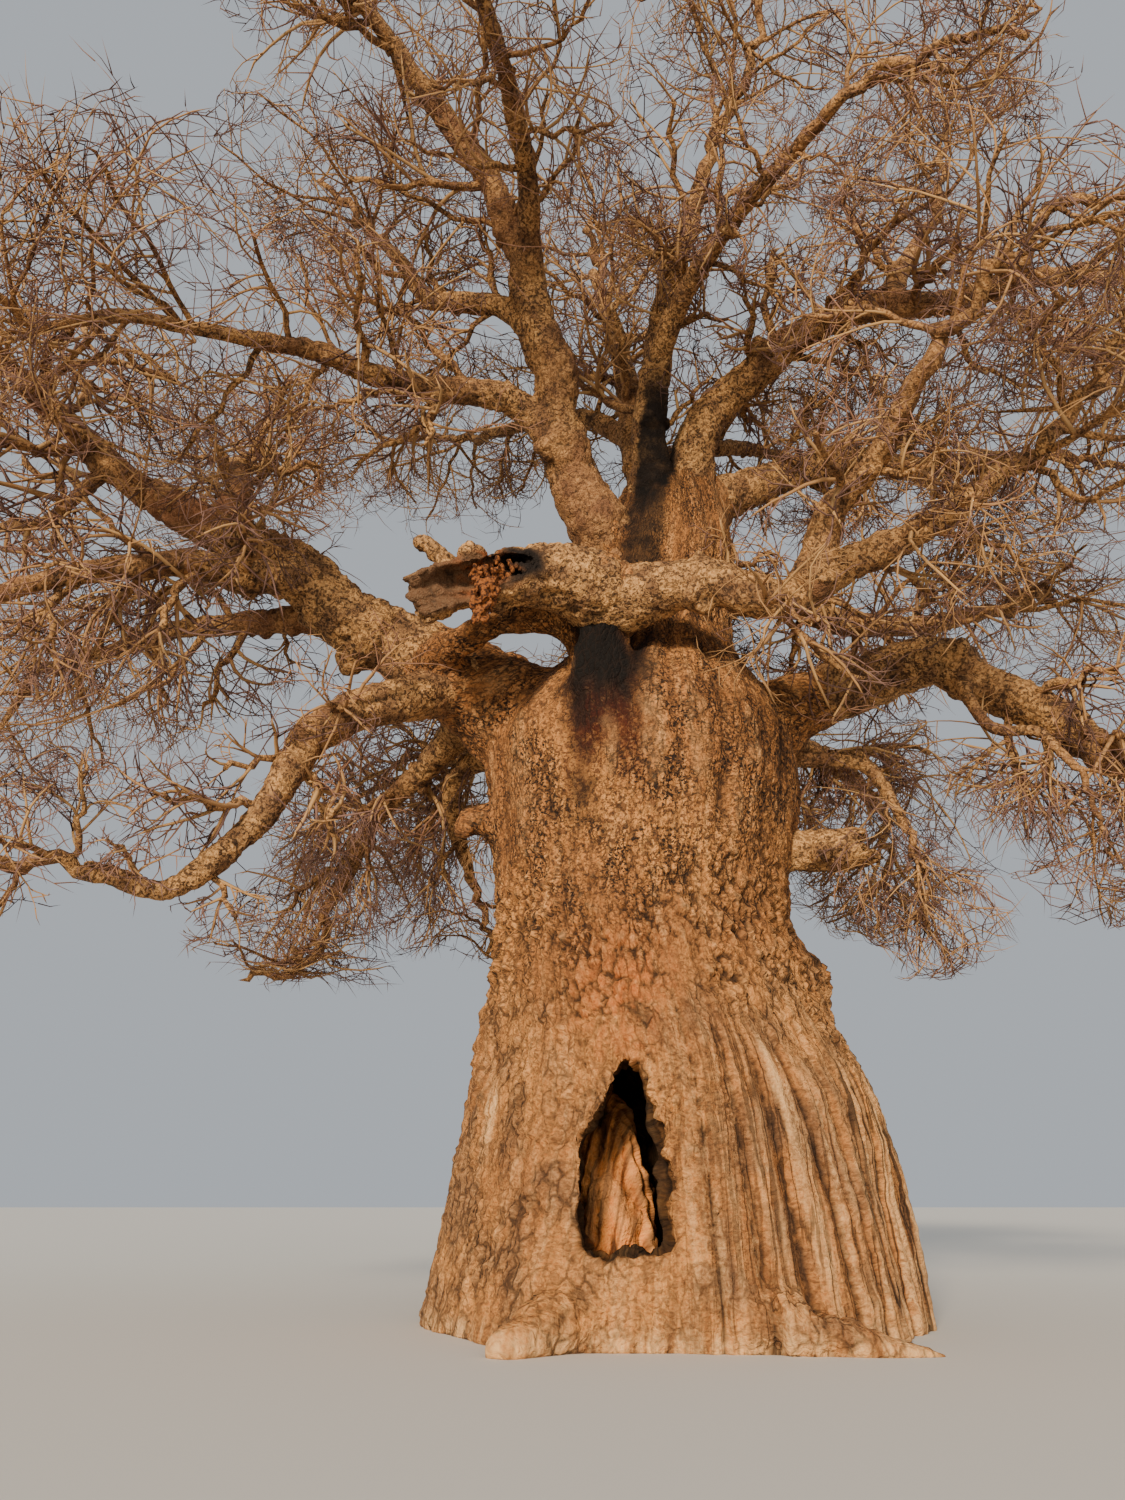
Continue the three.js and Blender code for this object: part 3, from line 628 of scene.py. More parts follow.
def sweep(points: Array, radii: Array, name: str = "swept") -> Piece:
    """A closed round rod along a line, drawn as a bevelled curve and made a mesh.

    Args:
        points: the line's places, as rows.
        radii: the rod's radius at each.
        name: the object's name.

    Returns:
        The mesh object.
    """
    bpy.ops.object.select_all(action="DESELECT")
    bpy.ops.curve.primitive_bezier_curve_add(location=(0, 0, 0))
    drawn = bpy.context.object
    curve = drawn.data
    curve.splines.clear()
    spline = curve.splines.new("POLY")
    spline.points.add(len(points) - 1)
    spline.points.foreach_set("co", np.column_stack((points, np.ones(len(points)))).ravel())
    spline.points.foreach_set("radius", np.asarray(radii, dtype=float))
    curve.bevel_depth = 1.0
    curve.bevel_resolution = 5
    curve.use_fill_caps = True
    bpy.ops.object.convert(target="MESH")
    made = bpy.context.object
    made.name = name
    return made


def rows_of(collection: bpy.types.bpy_prop_collection, name: str) -> Array:
    """Reads a vector from every item of a mesh's collection.

    Args:
        collection: the vertices or their normals.
        name: the vector's name.

    Returns:
        The vectors, as rows.
    """
    flat = np.empty(3 * len(collection), dtype=np.float32)
    collection.foreach_get(name, flat)
    return flat.reshape(-1, 3).astype(float)


def vertices_of(piece: Piece) -> Array:
    """The piece's vertices as rows."""
    return rows_of(piece.data.vertices, "co")


def normals_of(piece: Piece) -> Array:
    """The piece's vertex normals as rows."""
    return rows_of(piece.data.vertex_normals, "vector")


def place_vertices(piece: Piece, places: Array) -> None:
    """Moves the piece's vertices to these places."""
    piece.data.vertices.foreach_set("co", places.astype(np.float32).ravel())
    piece.data.update()


def push_out(piece: Piece, lifts: Array) -> None:
    """Moves each of the piece's vertices along its normal by its lift."""
    place_vertices(piece, vertices_of(piece) + normals_of(piece) * lifts[:, None])


def paint_attribute(piece: Piece, name: str, values: Array) -> None:
    """Stores values on a mesh for a material to read.

    Args:
        piece: an object with a mesh.
        name: what the material reads them under.
        values: a number or a vector for each vertex.
    """
    kind, quality = ("FLOAT", "value") if values.ndim == 1 else ("FLOAT_VECTOR", "vector")
    attribute = piece.data.attributes.new(name, kind, "POINT")
    attribute.data.foreach_set(quality, values.astype(np.float32).ravel())


def triangle_count(piece: Piece) -> int:
    """How many triangles the piece's faces make."""
    return sum(len(face.vertices) - 2 for face in piece.data.polygons)


def thin_out(piece: Piece, most: int) -> None:
    """Merges edges where the surface is plainest.

    Args:
        piece: an object with a mesh.
        most: the number of triangles to come down to.
    """
    now = triangle_count(piece)
    if now > most:
        apply_modifier(piece, "DECIMATE", ratio=most / now)


def finish(piece: Piece, materials: list[Material], slot: Slot, *nodes: str) -> None:
    """Dresses a piece, shades it smooth, and puts it in the place of its solids.

    Args:
        piece: the finished mesh.
        materials: its materials in the order of its faces' numbers.
        slot: not used.
        nodes: the solids that it stands for.
    """
    for material in materials:
        piece.data.materials.append(material)
    piece.data.polygons.foreach_set("use_smooth", np.ones(len(piece.data.polygons), dtype=bool))
    piece.data.update()
    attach(piece, BODY)
    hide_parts(*nodes)
    log.info("%s: %d triangles", piece.name, triangle_count(piece))


# Finishes

def rgb(code: str) -> tuple[float, float, float, float]:
    """A colour from its six hexadecimal digits.

    Args:
        code: two digits each for red, green and blue.

    Returns:
        The colour as light, and an opacity of 1.
    """
    parts = [int(code[i:i + 2], 16) / 255 for i in (0, 2, 4)]
    linear = [p / 12.92 if p <= 0.04045 else ((p + 0.055) / 1.055) ** 2.4 for p in parts]
    return (*linear, 1.0)


class Paint:
    """A material under the brush: its patterns lie on Object coordinates, or on a vector of the mesh."""

    def __init__(self, name: str, ground: str) -> None:
        """Starts a material with a plain shader.

        Args:
            name: the material's name.
            ground: the colour that the others are laid on.
        """
        self.material = bpy.data.materials.new(name)
        self.material.use_nodes = True
        self.nodes = self.material.node_tree.nodes
        self.links = self.material.node_tree.links
        self.shader = self.nodes["Principled BSDF"]
        self.place = self.nodes.new("ShaderNodeTexCoord").outputs["Object"]
        self.colour: object = ground

    def _feed(self, socket: Socket, value: object) -> None:
        """Gives a socket its value.

        Args:
            socket: a node's input.
            value: a socket to link it to, or its own number or colour.
        """
        if isinstance(value, Socket):
            self.links.new(value, socket)
        else:
            socket.default_value = rgb(value) if isinstance(value, str) else value

    def _node(self, kind: str, fed: dict[str | int, object], **settings: str) -> bpy.types.Node:
        """Adds a node.

        Args:
            kind: what the node does.
            fed: the value of each input, by its name or number.
            settings: the node's own settings.

        Returns:
            The node.
        """
        node = self.nodes.new("ShaderNode" + kind)
        for name, setting in settings.items():
            setattr(node, name, setting)
        for key, value in fed.items():
            self._feed(node.inputs[key], value)
        return node

    def stretched(self, stretch: Triple) -> Socket:
        """The patterns' coordinates, stretched along each axis."""
        return self._node("Mapping", {"Vector": self.place, "Scale": stretch}).outputs["Vector"]

    def noise(self, scale: float, detail: float = 4, stretch: Triple = (1, 1, 1),
              distortion: float = 0.0) -> Socket:
        """A cloudy pattern with this many waves in a metre, squeezed and stirred: a number near 0.5."""
        fed = {"Vector": self.stretched(stretch), "Scale": scale, "Detail": detail, "Distortion": distortion}
        return self._node("TexNoise", fed).outputs[0]

    def plates(self, scale: float, stretch: Triple, stir: float) -> Socket:
        """Plates of bark with cracks between them.

        Args:
            scale: plates in a metre.
            stretch: how they are squeezed along each axis.
            stir: how far the cracks wander, in metres.

        Returns:
            The socket of a number that is 0 in a crack and grows towards the middle of a plate.
        """
        place = self.stretched(stretch)
        waves = self._node("TexNoise", {"Vector": place, "Scale": scale}).outputs["Color"]
        stirred = self._node("VectorMath", {0: waves, 1: (stir, stir, stir), 2: place},
                             operation="MULTIPLY_ADD").outputs["Vector"]
        cells = self._node("TexVoronoi", {"Vector": stirred, "Scale": scale}, feature="DISTANCE_TO_EDGE")
        return cells.outputs["Distance"]

    def attribute(self, name: str, output: str = "Fac") -> Socket:
        """A number stored on the mesh, or a vector where output is Vector."""
        return self._node("Attribute", {}, attribute_name=name).outputs[output]

    def band(self, value: Socket, low: float, high: float, top: float = 1.0,
             bottom: float = 0.0) -> Socket:
        """Carries a number from low..high to bottom..top."""
        fed = {"Value": value, "From Min": low, "From Max": high, "To Min": bottom, "To Max": top}
        return self._node("MapRange", fed).outputs["Result"]

    def math(self, operation: str, first: object, second: object) -> Socket:
        """A sum, product or other operation on two numbers or their sockets."""
        return self._node("Math", {0: first, 1: second}, operation=operation).outputs["Value"]

    def times(self, first: object, second: object) -> Socket:
        """The product of two numbers."""
        return self.math("MULTIPLY", first, second)

    def mix(self, share: object, under: object, over: object, blend: str = "MIX") -> Socket:
        """Mixes two colours; share is how much of the upper one shows."""
        fed = {0: share, 6: under, 7: over}
        return self._node("Mix", fed, data_type="RGBA", blend_type=blend).outputs[2]

    def lay(self, share: object, over: object, blend: str = "MIX") -> None:
        """Lays a colour over what is painted so far; share is how much of it shows."""
        self.colour = self.mix(share, self.colour, over, blend)

    def done(self, height: Socket | None, depth: float, roughness: object) -> Material:
        """Joins colour, relief and roughness to the shader.

        Args:
            height: the relief that the light shows, if any.
            depth: the relief's depth in metres.
            roughness: how dull the surface is.

        Returns:
            The finished material.
        """
        self._feed(self.shader.inputs["Base Color"], self.colour)
        self._feed(self.shader.inputs["Roughness"], roughness)
        self.shader.inputs["Specular IOR Level"].default_value = 0.25
        if height is not None:
            relief = self._node("Bump", {"Distance": depth, "Strength": 0.8, "Height": height})
            self._feed(self.shader.inputs["Normal"], relief.outputs["Normal"])
        return self.material


@dataclass(frozen=True)
class TrunkBark:
    """The trunk's bark: tan and orange-brown, speckled dark above, peeled pale on the ribs of its foot with
    painted highlight on their crests; painted shade lies in its grooves, cracks and hollow.
    """

    tan: str = "cb8f50"
    clay: str = "b27842"
    umber: str = "785030"
    grime: str = "2d2018"
    # near-black brown: painted shade in grooves, cracks and relief hollows, and a fine dark grit
    shade_and_grit: str = "22150d"
    # pale peel and fibres, and the painted highlight on crests
    pale: str = "dfb27c"
    ash: str = "6c5543"
    torn: str = "c27338"
    rust: str = "4a1e0e"
    # near-black: painted shade in the room and a hole, painted shadow with black stain under the cross
    # bough, and a wet streak with painted shadow
    shade_and_stain: str = "0e0906"
    # the back wall's orange heartwood, made lighter than the wood as painted light falling into the hollow
    inner: str = "f0a055"
    heart: str = "7a4420"

    def material(self) -> Material:
        """Mixes the bark's finish.

        Returns:
            The material.
        """
        paint = Paint("trunk_bark_finish", self.tan)
        paint.place = paint.attribute("grain", "Vector")
        grime = paint.attribute("grime")
        broad = paint.noise(0.4, 3)
        mottle = paint.noise(1.5, 6, distortion=0.4)
        speckle = paint.noise(12, 7, (1, 1, 1.35), 0.9)
        fleck = paint.noise(19, 4, (1, 1, 1.35), 0.6)
        grit = paint.noise(34, 4)
        fibre = paint.noise(8, 6, (1, 1, 0.1))
        strand = paint.noise(5.5, 3, (1, 1, 0.045), 0.3)
        scratch = paint.noise(13, 4, (1, 1, 0.5), 1.6)
        ribbed = paint.attribute("ribbed")
        plain = paint.math("SUBTRACT", 1.0, paint.math("MAXIMUM", ribbed, paint.attribute("inner")))
        paint.lay(paint.band(broad, 0.4, 0.6), self.clay)
        paint.lay(paint.band(fibre, 0.5, 0.7, 0.6), self.umber)
        paint.lay(paint.band(fibre, 0.5, 0.34, 0.3), self.pale)
        paint.lay(paint.times(paint.band(grime, 0.55, 0.25), paint.band(mottle, 0.47, 0.6, 0.5)), self.ash)
        spots = paint.times(paint.band(grime, 0, 1, 0.95, 0.4), paint.band(speckle, 0.5, 0.57))
        paint.lay(spots, self.umber)
        cluster = paint.times(grime, paint.band(mottle, 0.36, 0.56, 1.0, 0.25))
        paint.lay(paint.times(cluster, paint.band(fleck, 0.51, 0.57)), self.grime)
        # pale peeled bark, and painted highlight on rib crests
        paint.lay(paint.times(paint.attribute("peel_and_highlight"), paint.band(fibre, 0.6, 0.44)), self.pale)
        strip = paint.times(paint.band(strand, 0.53, 0.6), paint.band(scratch, 0.44, 0.54, 0.65, 0.1))
        paint.lay(paint.times(strip, ribbed), self.pale)
        paint.lay(paint.attribute("torn"), self.torn)
        heartwood = paint.mix(paint.band(fibre, 0.46, 0.58, 0.9), self.inner, self.heart)
        heartwood = paint.mix(paint.band(mottle, 0.5, 0.62, 0.6), heartwood, self.heart)
        paint.lay(paint.attribute("inner"), heartwood)
        paint.lay(paint.times(paint.attribute("rust"), paint.band(speckle, 0.3, 0.5, 1.0, 0.6)), self.rust)
        paint.lay(paint.band(grit, 0.4, 0.65, 0.45), self.shade_and_grit, "SOFT_LIGHT")
        # painted shade in the relief's hollows and painted highlight on its crests
        paint.lay(paint.band(paint.attribute("crest"), 0.42, 0.0, 0.9), self.shade_and_grit)
        paint.lay(paint.band(paint.attribute("crest"), 0.65, 1.0, 0.2), self.pale)
        # painted shade and shadow, with black and wet stain
        paint.lay(paint.attribute("shade_and_stain"), self.shade_and_stain)
        # painted shade along the rib grooves and in the cracks between bark plates
        off_strand = paint.math("ABSOLUTE", paint.math("SUBTRACT", strand, 0.49), 0.0)
        groove = paint.times(paint.band(off_strand, 0.04, 0.008), ribbed)
        crack = paint.times(paint.band(paint.plates(6, (1, 1, 0.55), 0.14), 0.13, 0.02), plain)
        crack = paint.times(crack, paint.band(mottle, 0.35, 0.6, 0.85, 0.1))
        gap = paint.math("MAXIMUM", groove, crack)
        paint.lay(paint.times(gap, 0.85), self.shade_and_grit)
        height = paint.math("ADD", paint.times(speckle, 0.8), paint.times(fibre, 0.6))
        height = paint.math("ADD", height, paint.times(grit, 0.25))
        height = paint.math("SUBTRACT", height, paint.times(gap, 0.45))
        return paint.done(height, 0.08, paint.band(speckle, 0.3, 0.7, 0.95, 0.75))


@dataclass(frozen=True)
class BoughBark:
    """The boughs' bark: tan speckled with dark brown, in places smooth and red-brown, with painted shade in
    its wrinkles.
    """

    tan: str = "b78a57"
    gold: str = "d0a268"
    dark: str = "45301f"
    brown: str = "755338"
    red: str = "85583e"
    shade_and_grit: str = "1f1610"
    heart: str = "6d523a"
    ember: str = "a55c2d"

    def material(self) -> Material:
        """Mixes the bark's finish.

        Returns:
            The material.
        """
        paint = Paint("bough_bark_finish", self.tan)
        broad = paint.noise(0.5, 2)
        cloudy = paint.noise(2.6, 4)
        patch = paint.noise(18, 7, distortion=0.8)
        speckle = paint.noise(42, 3)
        paint.lay(paint.band(patch, 0.5, 0.38), self.gold)
        paint.lay(paint.band(cloudy, 0.45, 0.62, 0.8), self.brown)
        smooth = paint.times(paint.attribute("ruddy"), paint.band(broad, 0.43, 0.6, 0.85))
        paint.lay(smooth, self.red)
        rough = paint.math("SUBTRACT", 1.0, paint.times(smooth, 0.75))
        dark = paint.times(paint.band(patch, 0.49, 0.57), paint.band(cloudy, 0.3, 0.5, 0.9, 0.45))
        paint.lay(paint.times(dark, rough), self.dark)
        heartwood = paint.mix(paint.band(speckle, 0.4, 0.6), self.heart, self.brown)
        paint.lay(paint.attribute("heart"), heartwood)
        paint.lay(paint.attribute("ember"), self.ember)
        # painted shade in the broken bough's cavity, and wet stain with painted shadow down the leaders
        paint.lay(paint.attribute("char"), self.shade_and_grit)
        paint.lay(paint.band(speckle, 0.4, 0.65, 0.5), self.shade_and_grit, "SOFT_LIGHT")
        # painted shade in the hollows of the wrinkles
        paint.lay(paint.band(paint.attribute("crest"), 0.42, 0.0, 0.85), self.shade_and_grit)
        height = paint.math("ADD", paint.times(speckle, 0.3), patch)
        return paint.done(height, 0.06, paint.band(speckle, 0.3, 0.7, 0.95, 0.75))


@dataclass(frozen=True)
class TornWood:
    """Splintered heartwood where a bough broke: orange fibres."""

    fibre: str = "8f5529"
    shade: str = "3a2114"

    def material(self) -> Material:
        """Mixes the splinters' finish.

        Returns:
            The material.
        """
        paint = Paint("torn_wood_finish", self.fibre)
        grain = paint.noise(22, 5)
        paint.lay(paint.band(grain, 0.42, 0.58), self.shade)
        return paint.done(grain, 0.02, 0.9)


class TwigTone(Enum):
    """The plain colours of twigs, dealt out by spray."""

    TAN = "a67d52"
    MAUVE = "7d5e52"
    ROSE = "926a52"
    DUSK = "573f36"
    STRAW = "b48c5c"

    @classmethod
    def dealt(cls) -> tuple[list[int], list[int]]:
        """The tones that twigs take.

        Returns:
            The tones' numbers for thick twigs and for thin ones.
        """
        tones = list(cls)
        thick = [tones.index(cls.TAN), tones.index(cls.STRAW)]
        return thick, [tones.index(tone) for tone in (cls.MAUVE, cls.ROSE, cls.DUSK, cls.MAUVE, cls.TAN)]

    def material(self) -> Material:
        """A plain dull finish of this colour."""
        return Paint(f"twig_{self.name.lower()}_finish", self.value).done(None, 0, 0.85)


# The trunk

def station_value(heights: Array, quality: str) -> Array:
    """A station's quality between stations, smoothly.

    Args:
        heights: heights above the ground.
        quality: the name of a Station's number.

    Returns:
        One number for each height.
    """
    rows = np.array([station.height for station in STATIONS])
    values = np.array([getattr(station, quality) for station in STATIONS])
    last = len(rows) - 1
    low = np.clip(np.searchsorted(rows, heights) - 1, 0, last - 1)
    high = low + 1
    span = rows[high] - rows[low]
    t = np.clip((heights - rows[low]) / span, 0, 1)
    index = np.arange(last + 1)
    before = np.maximum(index - 1, 0)
    after = np.minimum(index + 1, last)
    slope = (values[after] - values[before]) / (rows[after] - rows[before])
    t2 = t * t
    t3 = t2 * t
    return ((2 * t3 - 3 * t2 + 1) * values[low] + (t3 - 2 * t2 + t) * slope[low] * span
            + (3 * t2 - 2 * t3) * values[high] + (t3 - t2) * slope[high] * span)


def trunk_radius(bearings: Array, heights: Array) -> Array:
    """How far the trunk's body reaches from its axis.

    Args:
        bearings: compass degrees.
        heights: heights above the ground.

    Returns:
        One radius for each pair.
    """
    radius = station_value(heights, "radius")
    for rib in BUTTRESSES:
        away = past(bearings, rib.bearing) / rib.spread
        fade = np.exp(-((np.maximum(heights, 0) / rib.top) ** 1.5))
        radius = radius + rib.out * np.exp(-away * away) * fade
    for fold in FOLDS:
        away = past(bearings, fold.bearing) / fold.spread
        up = (heights - fold.middle) / fold.reach
        radius = radius - fold.depth * np.exp(-away * away - up * up)
    return radius


def from_axis(places: Array) -> tuple[Array, Array]:
    """Where places lie round the trunk's leaning axis.

    Args:
        places: places, as rows.

    Returns:
        Their bearings, and their distances from the axis.
    """
    top = STATIONS[-1].height
    across = places[:, 0] - station_value(np.clip(places[:, 2], 0, top), "drift")
    return np.degrees(np.arctan2(across, places[:, 1])), np.hypot(across, places[:, 1])


@dataclass(frozen=True)
class Streak:
    """The dark run down the front of a leader and the column below it: a wet stain, with painted shadow
    under the overhanging leader.
    """

    low: float = 11.15
    low_fade: float = 0.4
    high: float = 16.4
    high_fade: float = 0.9
    leans_from: Pair = (-0.26, 12.2)
    lean: float = 0.154
    half: float = 0.36
    edge: Pair = (0.06, 0.08)
    dark: float = 0.84
    darkest: float = 0.97
    darkest_above: float = 13.8

    def at(self, places: Array) -> Array:
        """How dark the run is, from 0 to 1.

        Args:
            places: places on the wood, as rows.

        Returns:
            A share for each place.
        """
        x, y, z = places.T
        off = np.abs(x - self.leans_from[0] - self.lean * (z - self.leans_from[1]))
        frayed = off + 0.14 * cloud(places * (3, 3, 0.7), 57, 2) + 0.07 * cloud(places * 8, 58, 2)
        above = smooth_step(z, self.darkest_above - 0.9, self.darkest_above)
        strength = self.dark + (self.darkest - self.dark) * above
        strength -= 0.16 * cloud(places * 6, 59, 2)
        strength *= smooth_step(z, self.low, self.low + self.low_fade)
        strength *= smooth_step(z, self.high, self.high - self.high_fade)
        strength *= smooth_step(frayed, self.half + self.edge[0], self.half - self.edge[1])
        return np.clip(strength * smooth_step(y, 0, -0.45), 0, 1)


@dataclass
class Trunk:
    """The swollen trunk with its lobes, collars and hollow, as one piece of wood."""

    sides: int = 72
    ring_step: float = 0.35
    below: float = 0.4
    rough_voxel: float = 0.07
    voxel: float = 0.045
    triangles: int = 190_000
    collar_reach: float = 1.5
    door_outline: tuple[Pair, ...] = (
        (-1.5, 1.0), (-1.15, 0.86), (-0.75, 1.02), (-0.35, 1.06), (-0.42, 1.5), (-0.41, 1.95),
        (-0.48, 2.4), (-0.56, 2.95), (-0.79, 3.34), (-0.96, 3.05), (-1.17, 2.66), (-1.41, 2.24),
        (-1.39, 1.8), (-1.53, 1.4),
    )
    door_from: float = -4.4
    door_to: float = -1.9
    room_middle: Triple = (-0.8, -1.15, 2.35)
    room_half: Triple = (1.15, 1.25, 1.65)
    tongue: tuple[Pair, ...] = (
        (0.6, 0.72), (1.3, 0.64), (2.0, 0.52), (2.7, 0.34), (3.2, 0.12))
    tongue_at: Pair = (-1.03, -1.1)
    recess_at: float = -0.97
    recess_depth: float = 0.08
    ribs: int = 21
    ribs_at: float = 122.0
    rib_depth: float = 0.23
    slim_ribs: int = 56
    slim_rib_depth: float = 0.1
    plain_at: float = 218.0
    fold_depth: float = 0.1
    swell_depth: float = 0.2
    lip: float = 0.2
    lip_at: Pair = (98.0, 4.8)
    neck_in: float = 0.17

    def body(self) -> Piece:
        """The trunk's round body, extruded upwards ring by ring and then pushed to its true radius.

        Returns:
            The body alone.
        """
        bpy.ops.object.select_all(action="DESELECT")
        foot = STATIONS[0]
        bpy.ops.mesh.primitive_circle_add(vertices=self.sides, radius=foot.radius, fill_type="NGON",
                                          location=(foot.drift, 0, -self.below))
        body = bpy.context.object
        bpy.ops.object.mode_set(mode="EDIT")
        top = STATIONS[-1].height
        rings = int((top + self.below) / self.ring_step)
        heights = np.linspace(-self.below, top, rings + 1)
        radii = station_value(np.maximum(heights, 0), "radius")
        drifts = station_value(np.maximum(heights, 0), "drift")
        for i in range(rings):
            move = (drifts[i + 1] - drifts[i], 0, heights[i + 1] - heights[i])
            bpy.ops.mesh.extrude_region_move(TRANSFORM_OT_translate={"value": move})
            shrink = radii[i + 1] / radii[i]
            bpy.ops.transform.resize(value=(shrink, shrink, 1),
                                     center_override=(drifts[i + 1], 0, heights[i + 1]))
        bpy.ops.object.mode_set(mode="OBJECT")
        settle(body)
        places = vertices_of(body)
        bearings, _ = from_axis(places)
        heights = np.clip(places[:, 2], 0, top)
        stretch = trunk_radius(bearings, heights) / station_value(heights, "radius")
        drift = station_value(heights, "drift")
        places[:, 0] = drift + (places[:, 0] - drift) * stretch
        places[:, 1] *= stretch
        place_vertices(body, places)
        return body

    def lobe(self, grown: Grown) -> Piece:
        """A lobe, which runs on a little past its end into the bough that it bears.

        Args:
            grown: the lobe's path and girth.

        Returns:
            The lobe's solid.
        """
        shares = np.linspace(0, 1, 14)
        points = grown.path.at(shares)
        radii = grown.radius(shares)
        if grown.children:
            points = np.vstack((points, points[-1] + grown.path.way(1.0) * 0.5))
            radii = np.append(radii * 1.02, radii[-1] * 0.8)
        for place in TIES.get(grown.limb.name, ()):
            points = np.vstack((points, place))
            radii = np.append(radii, radii[-1] * 1.2)
        return sweep(points, radii)

    def hollow(self) -> Piece:
        """The doorway and the room behind it, as one solid.

        Returns:
            The solid that is cut away.
        """
        bpy.ops.object.select_all(action="DESELECT")
        bpy.ops.mesh.primitive_circle_add(vertices=len(self.door_outline), radius=1, fill_type="NGON")
        door = bpy.context.object
        flat = np.array([(x, self.door_from, z) for x, z in self.door_outline])
        place_vertices(door, flat)
        bpy.ops.object.mode_set(mode="EDIT")
        bpy.ops.mesh.select_all(action="SELECT")
        bpy.ops.mesh.extrude_region_move(
            TRANSFORM_OT_translate={"value": (0, self.door_to - self.door_from, 0)})
        bpy.ops.mesh.select_all(action="SELECT")
        bpy.ops.mesh.normals_make_consistent(inside=False)
        bpy.ops.object.mode_set(mode="OBJECT")
        bpy.ops.object.select_all(action="DESELECT")
        bpy.ops.mesh.primitive_uv_sphere_add(segments=32, ring_count=20, location=self.room_middle)
        room = bpy.context.object
        room.scale = self.room_half
        settle(room)
        settle(door)
        hollow = join([door, room], "hollow")
        apply_modifier(hollow, "REMESH", mode="VOXEL", voxel_size=0.06)
        apply_modifier(hollow, "SMOOTH", factor=0.5, iterations=6)
        push_out(hollow, 0.07 * cloud(vertices_of(hollow) * (2.4, 0.8, 2.4), 401, 2))
        return hollow

    def inner_wood(self) -> Piece:
        """The ribbed wood that stands at the back of the room.

        Returns:
            Its solid, without the ribs.
        """
        x, y = self.tongue_at
        points = np.array([(x, y + 0.08 * i, z) for i, (z, _) in enumerate(self.tongue)])
        return sweep(points, np.array([radius for _, radius in self.tongue]), "inner_wood")

    def shape(self, limbs: dict[str, Grown]) -> Piece:
        """Joins body, lobes and collars, cuts the hollow and the ground, and leaves an even mesh.

        Args:
            limbs: every grown limb by name.

        Returns:
            The trunk's mesh before its relief.
        """
        pieces = [self.lobe(limbs[lobe.name]) for lobe in LOBES]
        pieces += [collar_of(grown, self.collar_reach) for grown in limbs.values()
                   if grown.limb in BOUGHS and not grown.parent]
        trunk = join(pieces + [self.body()], "trunk_wood")
        apply_modifier(trunk, "REMESH", mode="VOXEL", voxel_size=self.rough_voxel)
        apply_modifier(trunk, "SMOOTH", factor=0.5, iterations=14)
        hollow = self.hollow()
        apply_modifier(trunk, "BOOLEAN", operation="DIFFERENCE", object=hollow, solver="FAST")
        bpy.data.objects.remove(hollow)
        trunk = join([self.inner_wood(), trunk], "trunk_wood")
        apply_modifier(trunk, "REMESH", mode="VOXEL", voxel_size=self.voxel)
        apply_modifier(trunk, "SMOOTH", factor=0.5, iterations=3)
        only(trunk)
        bpy.ops.object.mode_set(mode="EDIT")
        bpy.ops.mesh.select_all(action="SELECT")
        bpy.ops.mesh.bisect(plane_co=(0, 0, 0), plane_no=(0, 0, 1), use_fill=True, clear_inner=True)
        bpy.ops.object.mode_set(mode="OBJECT")
        return trunk

    def sculpt(self, trunk: Piece) -> None:
        """Presses the bark's relief into the trunk and stores where its colours change.

        Args:
            trunk: the trunk's even mesh.
        """
        places = vertices_of(trunk)
        normals = normals_of(trunk)
        bearings, out = from_axis(places)
        x, y, z = places.T
        angle = np.radians(bearings)
        wall = trunk_radius(bearings, np.clip(z, 0, STATIONS[-1].height))
        spread = 3.2 + 0.8 * np.maximum(out - wall, 0)
        grain = np.column_stack((spread * np.sin(angle), spread * np.cos(angle), z))
        flow = grain * (1, 1, 0.2)
        inner = smooth_step(out, wall - 0.2, wall - 0.45) * smooth_step(z, 4.2, 3.9)
        front = smooth_step(y, -0.4, -1.4)

        foot = smooth_step(z + 1.1 * cloud(flow * 1.4, 7, 2), 4.5, 3.0) * (1 - inner)
        right = np.abs(past(bearings, self.ribs_at))
        left = past(bearings, self.plain_at)
        side = (0.35 + 0.65 * smooth_step(right, 78, 48)) * (1 - 0.8 * bump(left, 0, 42))
        wander = 2.4 * cloud(flow * 0.7, 3, 2)
        rib = np.abs(np.sin(self.ribs * angle + wander)) ** 0.45
        slim_rib = np.abs(np.sin(self.slim_ribs * angle + 2.8 * wander)) ** 0.55
        strength = side * (0.65 + 0.35 * smooth_step(cloud(flow * 0.8, 61, 2), -0.4, 0.3))
        strength *= smooth_step(out - wall, 0.5, 0.2)
        knobbly = bump(z, 4.2, 3.2) * (0.35 + 0.65 * smooth_step(cloud(grain * 0.9, 15, 2), -0.3, 0.3))
        warp = np.column_stack([cloud(grain * 1.6, 16 + 5 * axis, 3) for axis in range(3)])
        shingles = scales(grain * (4.2, 4.2, 2.6) + 1.1 * warp, 13)
        small_shingles = scales(grain * (8, 8, 5) + 1.6 * warp, 14)
        upper = smooth_step(z, 5.4, 7.4)
        folds = ridges(flow * 1.2, 21, 2)
        swells = ridges(np.column_stack((3.0 * angle, 0.22 * z, 0 * z)) + 0.5 * warp * (1, 0.3, 0), 25, 2)

